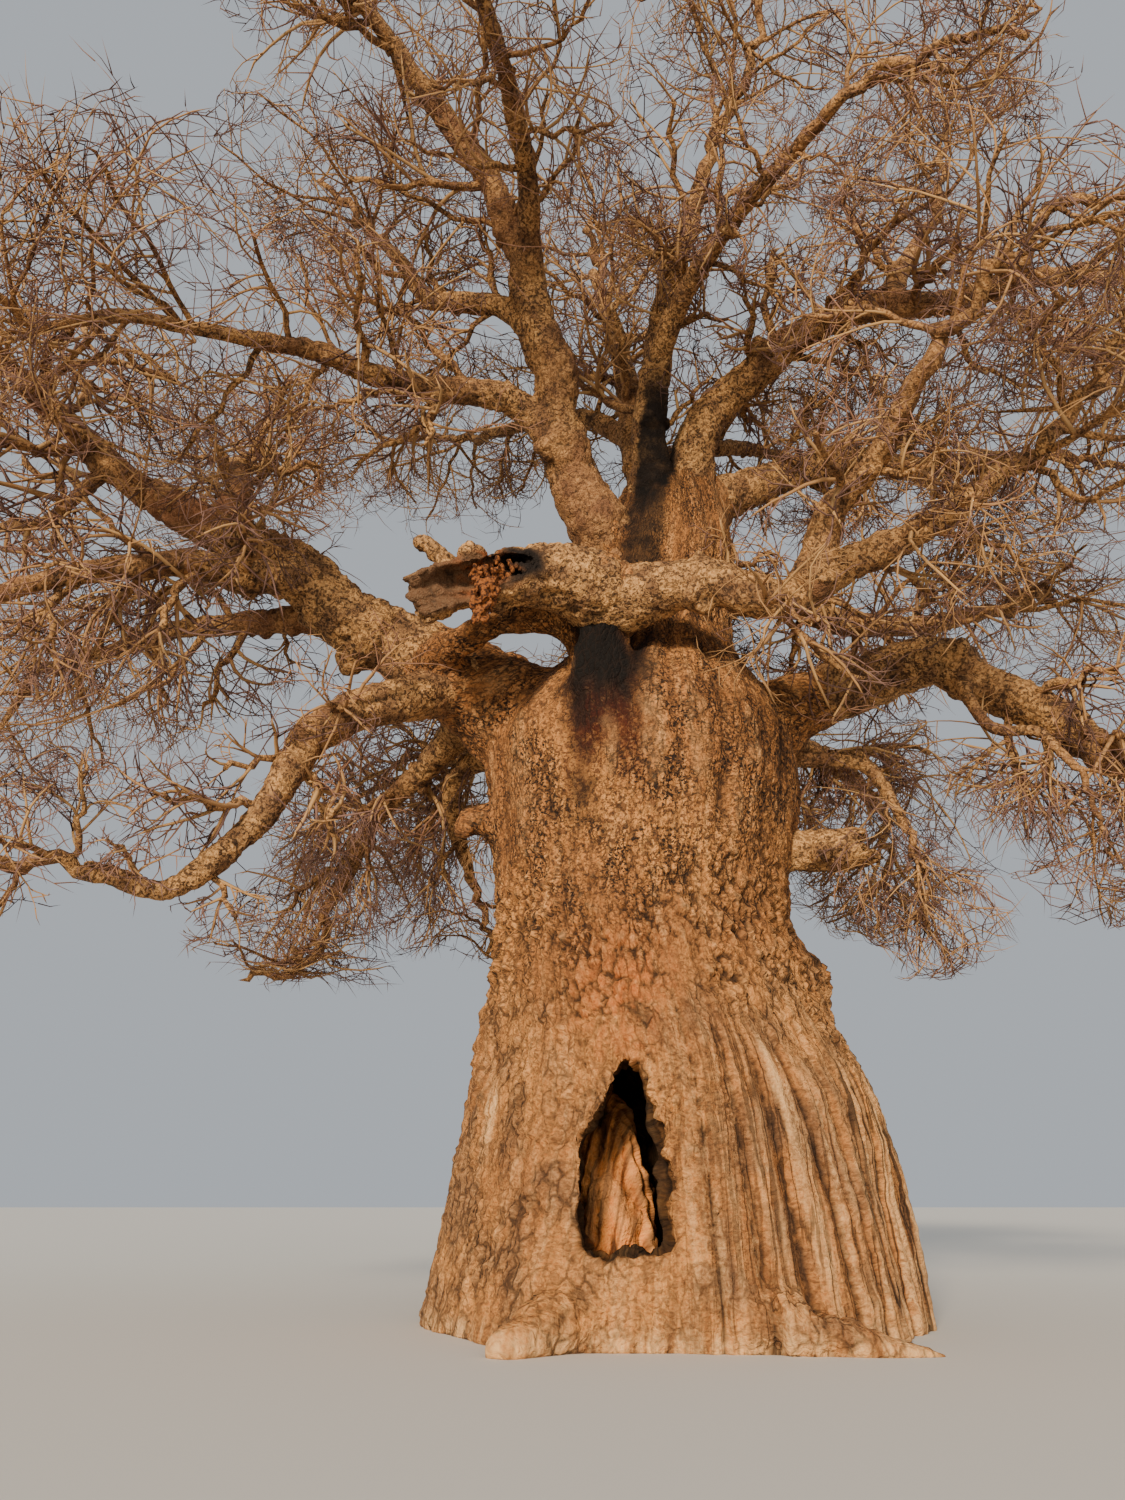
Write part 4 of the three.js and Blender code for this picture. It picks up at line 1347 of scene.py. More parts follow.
        fine = self.rib_depth * foot * strength * (rib - 0.76)
        fine += self.slim_rib_depth * foot * strength * (slim_rib - 0.7)
        rough = (0.02 + 0.11 * knobbly) * (1 - 0.7 * foot * side) * (1 - 0.5 * upper)
        fine += rough * (shingles - 0.5) + 0.7 * rough * (small_shingles - 0.5)
        fine += self.fold_depth * upper * (folds - 0.6) + 0.03 * (1 - foot * side) * cloud(places * 9, 31, 2)
        fine += 0.012 * cloud(places * 5, 35, 3)
        broad = 0.08 * cloud(places * 0.8, 41, 3) + 0.03 * cloud(places * 2.6, 43, 2)
        broad += self.lip * bump(bearings, self.lip_at[0], 9) * bump(z, self.lip_at[1], 0.42) ** 0.5
        broad -= self.neck_in * bump(bearings, self.lip_at[0], 50) * bump(z, 4.5, 2.2)
        broad += self.swell_depth * smooth_step(z, 5.5, 3.5) * (1 - side) * (1 - inner) * (swells - 0.6)
        across = np.abs(x - self.recess_at)
        drip = cloud(grain * (3, 3, 0.7), 51, 3)
        recess = front * smooth_step(across, 0.62, 0.3)
        recess = recess * smooth_step(z, 8.3, 9.2) * smooth_step(z, 10.6, 9.9)
        tongue_x, tongue_y = self.tongue_at
        from_tongue = np.hypot(x - tongue_x, y - tongue_y)
        on_tongue = inner * smooth_step(from_tongue, 0.85, 0.62)
        around = np.arctan2(y - tongue_y, x - tongue_x)
        flutes = 0.12 * (np.abs(np.sin(7 * around + 3.5 * drip)) ** 0.5 - 0.7)
        flutes += 0.16 * cloud(places * (2.6, 2.6, 1.2), 27, 2) + 0.09 * cloud(places * (8, 8, 4), 29, 2)
        lift = (fine + broad) * (1 - 0.75 * inner) + flutes * inner - self.recess_depth * recess
        moved = places + normals * lift[:, None]
        moved[z < 1e-4, 2] = 0
        moved[:, 2] = np.maximum(moved[:, 2], 0)
        place_vertices(trunk, moved)

        frayed = across + 0.3 * drip + 0.3 * cloud(grain * (1.3, 1.3, 0.8), 55, 2)
        # under the cross bough: painted shadow with black stain
        stem = front * smooth_step(frayed, 0.8, 0.4) * smooth_step(z, 10.6, 10.3)
        high = z + 0.35 * drip
        patch = front * bump(x, -0.85, 0.6 + 0.3 * drip) * bump(z, 4.2, 0.9)
        scar = front * bump(x, -2.62 + 0.05 * drip, 0.07) * bump(z, 2.75, 0.5)
        # pale streaks on rib crests: peeled bark with painted highlight
        streaks = foot * strength * smooth_step(rib, 0.78, 1.0) * smooth_step(drip, -0.1, 0.35)
        mottled = bump(left, 0, 50) * smooth_step(z, 3.4, 6.5)
        # a dark spot above the lip: the painted shade of a hole
        hole = bump(bearings, self.lip_at[0] + 3, 4.5) * bump(z, self.lip_at[1] + 0.36, 0.16)
        colours = {
            "grain": grain,
            "ribbed": foot * strength,
            # relief height, for painted shade in hollows and painted highlight on crests
            "crest": np.clip(0.55 + (fine + (flutes - fine) * inner) / 0.15, 0, 1),
            "inner": on_tongue,
            # painted shade on the room's walls and in a hole, painted shadow with black stain under the
            # cross bough, and the wet streak with painted shadow
            "shade_and_stain": np.clip(stem * smooth_step(high, 8.1, 9.2) + 0.8 * (inner - on_tongue) + hole
                             + Streak().at(places), 0, 1),
            "rust": stem * smooth_step(high + 1.2 * across, 7.4, 8.7),
            "torn": np.clip(patch * (0.1 + 1.3 * shingles) - 0.1, 0, 0.85),
            # pale at the ground's edge and on a scar, and on rib crests peeled bark with painted highlight
            "peel_and_highlight": np.clip(0.8 * streaks + 1.4 * scar + 0.7 * smooth_step(z, 0.3, 0.08), 0, 1),
            "grime": np.clip(0.2 + 0.65 * upper + 0.3 * knobbly + 0.8 * mottled, 0, 1),
        }
        for name, values in colours.items():
            paint_attribute(trunk, name, values)

    def build(self, limbs: dict[str, Grown]) -> None:
        """Shapes, sculpts and dresses the trunk.

        Args:
            limbs: every grown limb by name.
        """
        trunk = self.shape(limbs)
        self.sculpt(trunk)
        thin_out(trunk, self.triangles)
        finish(trunk, [TrunkBark().material()], Slot.TRUNK, "trunk")


def collar_of(grown: Grown, reach: float) -> Piece:
    """A swelling that leads out of the parent and ends inside the bough.

    Args:
        grown: the bough whose foot it is.
        reach: its length outside the parent, in girths of the foot.

    Returns:
        The swelling's rod.
    """
    foot = grown.limb.girth[0]
    last = min(0.5, (grown.sunk + reach * foot) / grown.path.length)
    shares = np.linspace(0, last, 8)
    t = shares / last
    radii = grown.radius(shares) * (1.12 - 0.3 * t ** 1.5)
    return sweep(grown.path.at(shares), radii)


# The boughs

@dataclass
class Bough:
    """One bough: a swept limb with the collars of its children, knots and bark relief."""

    grown: Grown
    number: int
    reach_past: float = 0.45
    knots: int = 5
    grain: float = 0.13
    finest: float = 0.018
    coarsest: float = 0.042
    kept_share: float = 0.45

    @property
    def voxel(self) -> float:
        """The mesh's grain, finer on a thinner bough."""
        return float(np.clip(np.mean(self.grown.limb.girth) * self.grain, self.finest, self.coarsest))

    def line(self) -> tuple[Array, Array]:
        """The bough's centre line and radii, with a little wander between its ends.

        Returns:
            The line's places and the radius at each.
        """
        grown = self.grown
        count = max(12, int(grown.path.length / 0.14))
        shares = np.linspace(0, 1, count)
        points = grown.path.at(shares)
        radii = grown.radius(shares)
        free = np.sin(np.pi * shares) ** 0.5
        sway = np.column_stack([cloud(points * 1.1, 70 + 3 * self.number + axis, 2) for axis in range(3)])
        points = points + sway * (0.4 * radii * free)[:, None]
        radii = radii * (1 + 0.12 * free * cloud(points * 1.7, 90 + self.number, 2))
        points = np.vstack((points[0] - grown.path.way(0.0) * 0.6 * radii[0], points))
        radii = np.append(radii[0] * 0.7, radii)
        if grown.limb.space:
            ahead = heading(*grown.limb.run[-1][1:])
            points = np.vstack((points, points[-1] + ahead * self.reach_past))
            radii = np.append(radii, radii[-1] * 0.78)
        return points, radii

    def knot(self, index: int) -> Piece:
        """A knot or the stub of a lost limb, which swells out of the bough.

        Args:
            index: the knot's number on its bough.

        Returns:
            The knot's solid.
        """
        draws = [stray(self.number * 31 + index, k) for k in range(4)]
        share = 0.2 + 0.7 * draws[0]
        radius = float(self.grown.radius(share))
        way = self.grown.path.way(share)
        side = unit(np.cross(way, heading(360 * draws[1], 70 * draws[2] - 35)))
        foot = self.grown.path.at(share)
        out = radius * (1.05 + 0.45 * draws[3])
        line = np.array([foot, foot + side * 0.7 * out, foot + side * out + way * 0.2 * out])
        return sweep(line, radius * np.array((0.62, 0.5, 0.3)))

    def extras(self) -> list[Piece]:
        """Further wood that is joined on before the mesh is made even."""
        return []

    def cut(self, wood: Piece) -> None:
        """Takes wood away from the even mesh where a bough is broken."""

    def shape(self) -> Piece:
        """Joins line, collars and knots into one even mesh.

        Returns:
            The bough's mesh before its relief.
        """
        pieces = [sweep(*self.line())]
        pieces += [collar_of(child, 1.3) for child in self.grown.children if not child.goes_on]
        pieces += [self.knot(index) for index in range(self.knots)]
        wood = join(pieces + self.extras(), f"{self.grown.limb.name}_wood")
        apply_modifier(wood, "REMESH", mode="VOXEL", voxel_size=self.voxel)
        apply_modifier(wood, "SMOOTH", factor=0.5, iterations=6)
        self.cut(wood)
        return wood

    def sculpt(self, wood: Piece) -> None:
        """Presses lumps, wrinkles and pits into the bough.

        Args:
            wood: the bough's even mesh.
        """
        places = vertices_of(wood)
        girth = float(np.mean(self.grown.limb.girth))
        lumps = cloud(places * 1.9, 101, 3)
        wrinkles = ridges(places * 4.6, 131, 3)
        pits = cloud(places * 11, 161, 2)
        fine = 0.16 * girth * (wrinkles - 0.5) + 0.05 * girth * pits
        push_out(wood, 0.13 * girth * lumps + fine)
        # relief height, for painted shade in the wrinkles
        paint_attribute(wood, "crest", np.clip(0.5 + fine / (0.16 * girth), 0, 1))
        name = self.grown.limb.name
        begins = RUDDY_FROM.get(name, 0.0)
        along = np.linalg.norm(places - self.grown.path.at(0.0), axis=1) / self.grown.path.length
        ruddy = RUDDY.get(name, RUDDY_ELSEWHERE) * smooth_step(along, begins - 0.1, begins + 0.1)
        paint_attribute(wood, "ruddy", ruddy)

    def ragged_end(self, wood: Piece, depth: float) -> None:
        """Tears the bough's end.

        Args:
            wood: the bough's mesh.
            depth: about how deep the tears go, in metres.
        """
        places = vertices_of(wood)
        way = self.grown.path.way(1.0)
        beyond = smooth_step((places - self.grown.path.at(1.0)) @ way, -0.3, 0.0)
        ragged = depth * (cloud(places * (2, 8, 8), 301, 3) - 0.3)
        place_vertices(wood, places + way * (beyond * ragged)[:, None])

    def dress(self, wood: Piece, bark: Material) -> None:
        """Gives the bough its bark and its place, dark where water runs down it, with painted shadow in the
        same streak.
        """
        paint_attribute(wood, "char", Streak().at(vertices_of(wood)))
        finish(wood, [bark], Slot.BOUGH, self.grown.limb.name)

    def build(self, bark: Material) -> None:
        """Shapes, sculpts and dresses the bough.

        Args:
            bark: the boughs' finish.
        """
        wood = self.shape()
        self.sculpt(wood)
        thin_out(wood, int(self.kept_share * triangle_count(wood)))
        self.dress(wood, bark)


@dataclass
class BrokenBough(Bough):
    """The bough that tore: its front is open, its heartwood hangs out, and a dead spur stands on it."""

    spur_share: float = 0.86
    spur_girth: Pair = (0.19, 0.11)
    spur_run: tuple[Triple, ...] = ((0.7, -60, 74), (0.42, -100, 38))
    cavity_from: float = 0.43
    cavity_offset: Triple = (0.0, -0.24, -0.03)
    cavity_radii: Pair = (0.25, 0.34)
    splinters: int = 110
    spill: tuple[Triple, ...] = (
        (0.16, -0.12, 0.12), (0.05, -0.3, -0.12), (0.0, -0.4, -0.4), (-0.07, -0.38, -0.85))
    spill_width: float = 0.5

    def extras(self) -> list[Piece]:
        """The dead spur.

        Returns:
            A list with its solid alone.
        """
        shares = np.linspace(0, 1, 8)
        foot, tip = self.spur_girth
        spur = path_of(self.grown.path.at(self.spur_share), self.spur_run)
        return [sweep(spur.at(shares), tip + (foot - tip) * (1 - shares))]

    def cavity_line(self, count: int) -> tuple[Array, Array]:
        """The middle line of the torn opening at this many places, and the radius at each."""
        points = self.grown.path.at(np.linspace(self.cavity_from, 1.0, count)) + self.cavity_offset
        return points, np.linspace(*self.cavity_radii, count)

    def cut(self, wood: Piece) -> None:
        """Opens the bough's front, which leaves a trough of shell with a ragged rim.

        Args:
            wood: the bough's mesh.
        """
        points, radii = self.cavity_line(12)
        points = np.vstack((points, points[-1] + self.grown.path.way(1.0) * 0.5))
        cavity = sweep(points, np.append(radii, radii[-1]), "cavity")
        apply_modifier(cavity, "REMESH", mode="VOXEL", voxel_size=0.04)
        push_out(cavity, 0.1 * cloud(vertices_of(cavity) * (2, 6, 6), 311, 2))
        apply_modifier(wood, "BOOLEAN", operation="DIFFERENCE", object=cavity, solver="FAST")
        bpy.data.objects.remove(cavity)
        apply_modifier(wood, "REMESH", mode="VOXEL", voxel_size=0.026)
        apply_modifier(wood, "SMOOTH", factor=0.5, iterations=2)

    def sculpt(self, wood: Piece) -> None:
        """Adds to the usual relief where heartwood, torn fibres and the painted shade of the cavity's inner
        end show.

        Args:
            wood: the bough's mesh.
        """
        places = vertices_of(wood)
        points, radii = self.cavity_line(30)
        away = np.linalg.norm(places[:, None] - points[None], axis=2) - radii[None]
        nearest = away.argmin(axis=1)
        along = nearest / (len(points) - 1)
        heart = smooth_step(away.min(axis=1), 0.1, 0.03)
        grain = cloud(places * (3, 14, 14), 321, 3)
        paint_attribute(wood, "heart", heart)
        paint_attribute(wood, "ember", heart * bump(along, 0.38, 0.2) * smooth_step(grain, -0.2, 0.4))
        # painted shade in the cavity's inner end
        paint_attribute(wood, "char", heart * smooth_step(along + 0.15 * grain, 0.35, 0.12))
        push_out(wood, 0.03 * heart * grain)
        self.ragged_end(wood, 0.28)
        super().sculpt(wood)

    def splinter(self, index: int) -> Piece:
        """One scrap of the torn heartwood, on its way from the cavity over the lip and down.

        Args:
            index: the scrap's number, counted downwards.

        Returns:
            The scrap's solid.
        """
        draws = [stray(700 + index, k) for k in range(7)]
        share = index / (self.splinters - 1)
        middle = Path(self.grown.path.at(0.66) + np.array(self.spill)).at(share)
        loose = self.spill_width * (1.15 - 0.75 * share)
        foot = middle + loose * (np.array(draws[:3]) - 0.5) * (1.0, 0.6, 0.5)
        way = heading(360 * draws[3], -85 + 75 * draws[4] ** 2)
        length = 0.1 + 0.26 * draws[5] ** 2
        line = np.array([foot - 0.5 * length * way, foot + 0.02, foot + 0.5 * length * way])
        return sweep(line, (0.02 + 0.045 * draws[6]) * np.array((0.6, 1.0, 0.35)))

    def heartwood(self) -> Piece:
        """The crumbling mass of heartwood that hangs from the opening.

        Returns:
            The mass as one mesh.
        """
        mass = join([self.splinter(index) for index in range(self.splinters)], "heartwood")
        apply_modifier(mass, "REMESH", mode="VOXEL", voxel_size=0.018)
        push_out(mass, 0.035 * cloud(vertices_of(mass) * 13, 331, 3))
        return mass

    def dress(self, wood: Piece, bark: Material) -> None:
        """Adds the torn heartwood and gives both woods their finish.

        Args:
            wood: the bough's mesh.
            bark: the bark's finish.
        """
        name = wood.name
        fibres = self.heartwood()
        fibre_faces = len(fibres.data.polygons)
        whole = join([fibres, wood], name)
        index = np.zeros(len(whole.data.polygons), dtype=np.int32)
        index[len(index) - fibre_faces:] = 1
        whole.data.materials.clear()
        finish(whole, [bark, TornWood().material()], Slot.BOUGH, self.grown.limb.name)
        whole.data.polygons.foreach_set("material_index", index)


@dataclass
class CutStub(Bough):
    """The stub of a broken limb, with a ragged end."""

    knots: int = 1

    def sculpt(self, wood: Piece) -> None:
        """Adds a ragged break to the usual relief."""
        self.ragged_end(wood, 0.4)
        super().sculpt(wood)


# The twigs

def stray(key: int, index: int) -> float:
    """A number from 0 to 1 that depends only on the key and the index."""
    return float(draw(np.array([key], dtype=np.uint64), index)[0])


def draw(keys: Array, index: int) -> Array:
    """A number from 0 to 1 for each twig's key and what it is for.

    Args:
        keys: the twigs' keys.
        index: what the number decides.

    Returns:
        One number for each key.
    """
    whole = np.uint64(BITS_32)
    salt = np.uint64(((index + 1) * 0x9E3779B1) & BITS_32)
    mixed = ((keys ^ salt) * np.uint64(0x85EBCA6B)) & whole
    mixed = ((mixed ^ (mixed >> np.uint64(13))) * np.uint64(0xC2B2AE35)) & whole
    return (mixed ^ (mixed >> np.uint64(16))).astype(float) / (BITS_32 + 1)


def child_keys(keys: Array, index: int) -> Array:
    """The keys of each twig's child with this index."""
    salt = np.uint64(((index + 1) * 0x27D4EB2F) & BITS_32)
    return ((keys * np.uint64(0x01000193)) & np.uint64(BITS_32)) ^ salt


def spray_of(keys: Array) -> Array:
    """The number of the spray that starts with each twig."""
    return (keys % np.uint64(97)).astype(int)


class Kind(Enum):
    """What a mass is joined into: thick branches with bark, and plain twigs."""

    BRANCH = "branches"
    TWIG = "sprays"


@dataclass(frozen=True)
class Level:
    """The growth rule at one level.

    length and girth are those of a child over its parent's. sway turns each joint a little at random, and
    bend turns all joints of a twig the same way. finer is the number of steps that a joint is drawn with.
    """

    kind: Kind
    joints: int
    finer: int
    sides: int
    sway: float
    bend: float
    children: int
    length: float
    girth: float


@dataclass
class Brood:
    """The twigs of one level, with a row for each twig."""

    key: Array
    start: Array
    direction: Array
    length: Array
    radius: Array
    spray: Array
    footed: bool = False
    sleeved: bool = False

    ROWS = ("key", "start", "direction", "length", "radius", "spray")

    def pick(self, kept: Array) -> "Brood":
        """The twigs whose row is kept."""
        return Brood(*(getattr(self, name)[kept] for name in self.ROWS), self.footed, self.sleeved)

    @staticmethod
    def joined(broods: list["Brood"]) -> "Brood":
        """Several broods of one kind as one."""
        parts = [np.concatenate([getattr(brood, name) for brood in broods]) for name in Brood.ROWS]
        return Brood(*parts, sleeved=broods[0].sleeved)


@dataclass(frozen=True)
class Stretches:
    """The limbs as short straight stretches with a radius, for testing how near a twig comes."""

    start: Array
    end: Array
    radius: Array
    owner: Array

    @staticmethod
    def of(limbs: dict[str, Grown]) -> "Stretches":
        """Divides every limb into stretches.

        Args:
            limbs: the limbs by name.

        Returns:
            The stretches of them all.
        """
        starts, ends, radii, owners = [], [], [], []
        for number, grown in enumerate(limbs.values()):
            shares = np.linspace(0, 1, 2 * len(grown.limb.run) + 1)
            points = grown.path.at(shares)
            starts.append(points[:-1])
            ends.append(points[1:])
            radii.append(grown.radius(shares[:-1]))
            owners.append(np.full(len(shares) - 1, number))
        return Stretches(np.vstack(starts), np.vstack(ends), np.concatenate(radii), np.concatenate(owners))

    def near(self, middle: Array, reach: float) -> "Stretches":
        """The stretches near a place.

        Args:
            middle: the place.
            reach: how near, in metres.

        Returns:
            Those within reach.
        """
        far = np.linalg.norm((self.start + self.end) / 2 - middle, axis=1)
        half = np.linalg.norm(self.end - self.start, axis=1) / 2
        kept = far < reach + half + self.radius
        return Stretches(self.start[kept], self.end[kept], self.radius[kept], self.owner[kept])

    def clear(self, first: Array, last: Array, room: Array, bearer: int) -> Array:
        """Whether each step of a twig stays clear of every limb but its bearer.

        Args:
            first: where the steps start, as rows.
            last: where they end.
            room: the least distance from a limb's bark, for each.
            bearer: the number of the limb that may be touched, or -1.

        Returns:
            A truth for each step.
        """
        if not len(self.start):
            return np.ones(len(first), dtype=bool)
        u = (last - first)[:, None]
        v = (self.end - self.start)[None]
        w = first[:, None] - self.start[None]
        uu = (u * u).sum(-1)
        vv = (v * v).sum(-1)
        uv = (u * v).sum(-1)
        uw = (u * w).sum(-1)
        vw = (v * w).sum(-1)
        spread = uu * vv - uv * uv
        s = np.where(spread > 1e-6 * uu * vv, (uv * vw - vv * uw) / np.maximum(spread, 1e-12), 0)
        s = np.clip(s, 0, 1)
        t = np.clip((uv * s + vw) / vv, 0, 1)
        s = np.clip((uv * t - uw) / uu, 0, 1)
        gap = np.linalg.norm(w + u * s[..., None] - v * t[..., None], axis=-1)
        fits = (gap > self.radius + room[:, None]) | (self.owner == bearer)
        return fits.all(axis=1)


class Space:
    """A mass's own space: an ellipsoid with a ragged edge, cut off half way to the other masses' middles.

    The twigs that leave the bough short of its tip also have a sleeve of room round the bough.
    """

    AHEAD = 0.5
    FLATTENING = 0.86
    CLEARANCE = 0.012
    SLEEVE = 2.1
    SLEEVE_FROM = 0.25
    RAGGED = 0.26
    OVER_FLOOR = 0.8

    def __init__(self, grown: Grown, number: int) -> None:
        """Measures the space beyond a bough's tip.

        Args:
            grown: the bough that bears the mass.
            number: the bough's number among the limbs.
        """
        self.grown = grown
        self.number = number
        self.ahead = heading(*grown.limb.run[-1][1:])
        self.tip = grown.path.at(1.0)
        self.reach = grown.limb.space.reach
        self.middle = self.tip + self.ahead * self.AHEAD * self.reach
        self.middle[2] += grown.limb.space.lift * self.reach
        self.floor = grown.limb.space.floor
        self.heart = np.array((*self.middle[:2], max(self.middle[2], self.floor + self.OVER_FLOOR)))
        self.others = np.zeros((0, 3))
        self.sleeve_line = grown.path.at(np.linspace(self.SLEEVE_FROM, 1, 16))

    def holds(self, points: Array, radii: Array, sleeved: bool) -> Array:
        """Whether places lie inside, by their twigs' radii and a clearance.

        Args:
            points: places, as rows.
            radii: the radius of the twig at each.
            sleeved: whether the space close round the bearing bough counts too.

        Returns:
            A truth for each place.
        """
        offset = points - self.middle
        room = radii + self.CLEARANCE
        reach = self.reach * (1 - self.RAGGED * smooth_step(value_noise(points * 1.5, 501), -0.3, 0.5))
        across = reach - room
        up = reach * self.FLATTENING - room
        inside = (offset[:, 0] / across) ** 2 + (offset[:, 1] / across) ** 2 + (offset[:, 2] / up) ** 2 < 1
        to_others = self.others - self.middle
        distance = np.linalg.norm(to_others, axis=1)
        toward = offset @ to_others.T / distance
        inside &= (toward < distance / 2 - room[:, None]).all(axis=1)
        if sleeved:
            away = np.linalg.norm(points[:, None] - self.sleeve_line[None], axis=2).min(axis=1)
            inside |= away < self.SLEEVE
        inside &= points[:, 2] > self.floor + 0.5 * value_noise(points * 1.2, 503)
        low, high = (np.array(corner) for corner in CAD_BOX)
        return inside & (points > low).all(axis=1) & (points < high).all(axis=1)


def clear_of_trunk(first: Array, last: Array, room: Array) -> Array:
    """Whether each step of a twig stays outside the trunk's body.

    Args:
        first: where each step starts, as rows.
        last: where each ends, as rows.
        room: the gap that each has to keep.

    Returns:
        True for each step that does.
    """
    top = STATIONS[-1].height
    clear = np.ones(len(first), dtype=bool)
    for share in (0.25, 0.5, 0.75, 1.0):
        places = first + (last - first) * share
        bearings, out = from_axis(places)
        wall = trunk_radius(bearings, np.clip(places[:, 2], 0, top))
        clear &= (out > wall + room) | (places[:, 2] > top + room)
    return clear


@dataclass
class TwigMass:
    """The twigs that one bough carries, grown level by level by the source's rule and carried finer."""

    space: Space
    key: int
    stretches: Stretches
    levels: tuple[Level, ...] = (
        Level(Kind.BRANCH, 4, 4, 10, 0.5, 0.0, 10, 1.0, 1.0),
        Level(Kind.BRANCH, 2, 5, 6, 0.62, 0.0, 8, 0.84, 0.5),
        Level(Kind.TWIG, 6, 1, 4, 0.36, 0.75, 6, 0.82, 0.62),
        Level(Kind.TWIG, 5, 1, 3, 0.3, 0.85, 2, 0.75, 0.66),
        Level(Kind.TWIG, 2, 1, 3, 0.5, 0.9, 0, 0.7, 0.85),
    )
    pull: float = 0.42
    tries: int = 4
    twig_tries: int = 2
    turn_back: float = 0.35
    tip_girth: float = 0.42
    splay: Pair = (34.0, 72.0)
    wander: float = 0.8
    droop: float = 3.6
    trail: float = 0.4
    finest: float = 0.0105
    sides_per_metre: float = 2.2
    full_reach: float = 3.3

    @property
    def fullness(self) -> float:
        """How many of the twigs of a wide mass this one carries, by its reach."""
        return (self.space.reach / self.full_reach) ** 1.5

    def stem(self) -> Brood:
        """The one stem that starts at the bough's tip.

        Returns:
            A brood of one.
        """
        space = self.space
        return Brood(
            np.array([self.key], dtype=np.uint64), space.tip[None], space.ahead[None],
            np.array([1.2 * space.reach]), np.array([0.96 * space.grown.limb.girth[1]]),
            np.array([0]), True)

    def side_brood(self) -> Brood:
        """Branches that leave the bough itself, short of its tip.

        Returns:
            The brood of them.
        """
        grown = self.space.grown
        first = Space.SLEEVE_FROM
        count = round(self.sides_per_metre * (1 - first) * grown.path.length * min(1.0, self.fullness))
        index = np.arange(count)
        keys = child_keys(np.full(count, self.key + 1000, dtype=np.uint64), 7)
        keys = keys ^ ((index + 1).astype(np.uint64) * np.uint64(7919))
        shares = first + (0.97 - first) * (index + draw(keys, 50)) / count
        way = np.array([grown.path.way(share) for share in shares])
        turn = np.radians(GOLDEN_TURN * index + 90 * draw(keys, 51))
        across = unit(np.cross(np.array((0.0, 0.0, 1.0)), way))
        other = np.cross(way, across)
        out = across * np.cos(turn)[:, None] + other * np.sin(turn)[:, None]
        radius = np.minimum(0.4 * grown.radius(shares), 0.09) * (0.7 + 0.5 * draw(keys, 52))
        length = self.space.reach * (0.4 + 0.4 * draw(keys, 53))
        return Brood(keys, grown.path.at(shares), unit(out + 0.55 * way), length, radius,
                     spray_of(keys), sleeved=True)

    def grow(self, brood: Brood, level: Level) -> tuple[Array, Array]:
        """Grows every twig of a level by its joints.

        A joint that would leave the space or meet a limb turns back towards the middle, or ends the twig.

        Args:
            brood: the level's twigs.
            level: the level's rule.

        Returns:
            The joints' places, and how many joints each twig has.
        """
        hang = self.pull * self.space.grown.limb.space.hang
        if level.kind is Kind.TWIG:
            hang *= self.droop / level.joints
        points = np.repeat(brood.start[:, None], level.joints + 1, axis=1)
        curl = level.bend * np.column_stack([draw(brood.key, 60 + axis) - 0.5 for axis in range(3)])
        direction = brood.direction.copy()
        made = np.zeros(len(brood.key), dtype=int)
        alive = np.ones(len(brood.key), dtype=bool)
        for i in range(level.joints):
            is_foot = brood.footed and i == 0
            if not is_foot:
                sway = np.column_stack([draw(brood.key, 3 * i + axis) - 0.5 for axis in range(3)])
                direction = direction + level.sway * sway + curl
                direction[:, 2] -= hang
                direction = unit(direction)
            last = points[:, i]
            inward = unit(self.space.heart - last)
            waiting = alive.copy()
            step = (brood.length / level.joints)[:, None]
            room = brood.radius + Space.CLEARANCE
            for _ in range(self.tries if level.kind is Kind.BRANCH else self.twig_tries):
                rows = np.flatnonzero(waiting)
                if not len(rows):
                    break
                place = last[rows] + direction[rows] * step[rows]
                bearer = self.space.number if i == 0 else -1
                fits = self.stretches.clear(last[rows], place, room[rows], bearer)
                fits &= clear_of_trunk(last[rows], place, room[rows])
                if not is_foot:
                    fits &= self.space.holds(place, brood.radius[rows], brood.sleeved)
                done = rows[fits]
                points[done, i + 1:] = place[fits][:, None]
                made[done] = i + 1
                waiting[done] = False
                failed = rows[~fits]
                turned = direction[failed] * (1 - self.turn_back) + inward[failed] * self.turn_back
                direction[failed] = unit(turned)
            alive &= ~waiting
        return points, made

    def drawn(self, brood: Brood, points: Array, level: Level) -> Array:
        """The lines that twigs are drawn along; thick branches wander a little between their joints.

        Args:
            brood: the twigs.
            points: their joints.
            level: their rule.

        Returns:
            Lines by points by three numbers.
        """
        lines = smooth_line(points, level.finer)
        if level.kind is Kind.TWIG:
            return lines
        share = np.linspace(0, 1, lines.shape[1])
        reach = self.wander * brood.radius[:, None] * np.minimum(1, 4 * share)
        for axis in range(3):
            wave = (1.3 + 1.4 * draw(brood.key, 70 + axis))[:, None] * share * lines.shape[1] / 8
            lines[..., axis] += reach * np.sin(2 * np.pi * (wave + draw(brood.key, 73 + axis)[:, None]))
        return lines

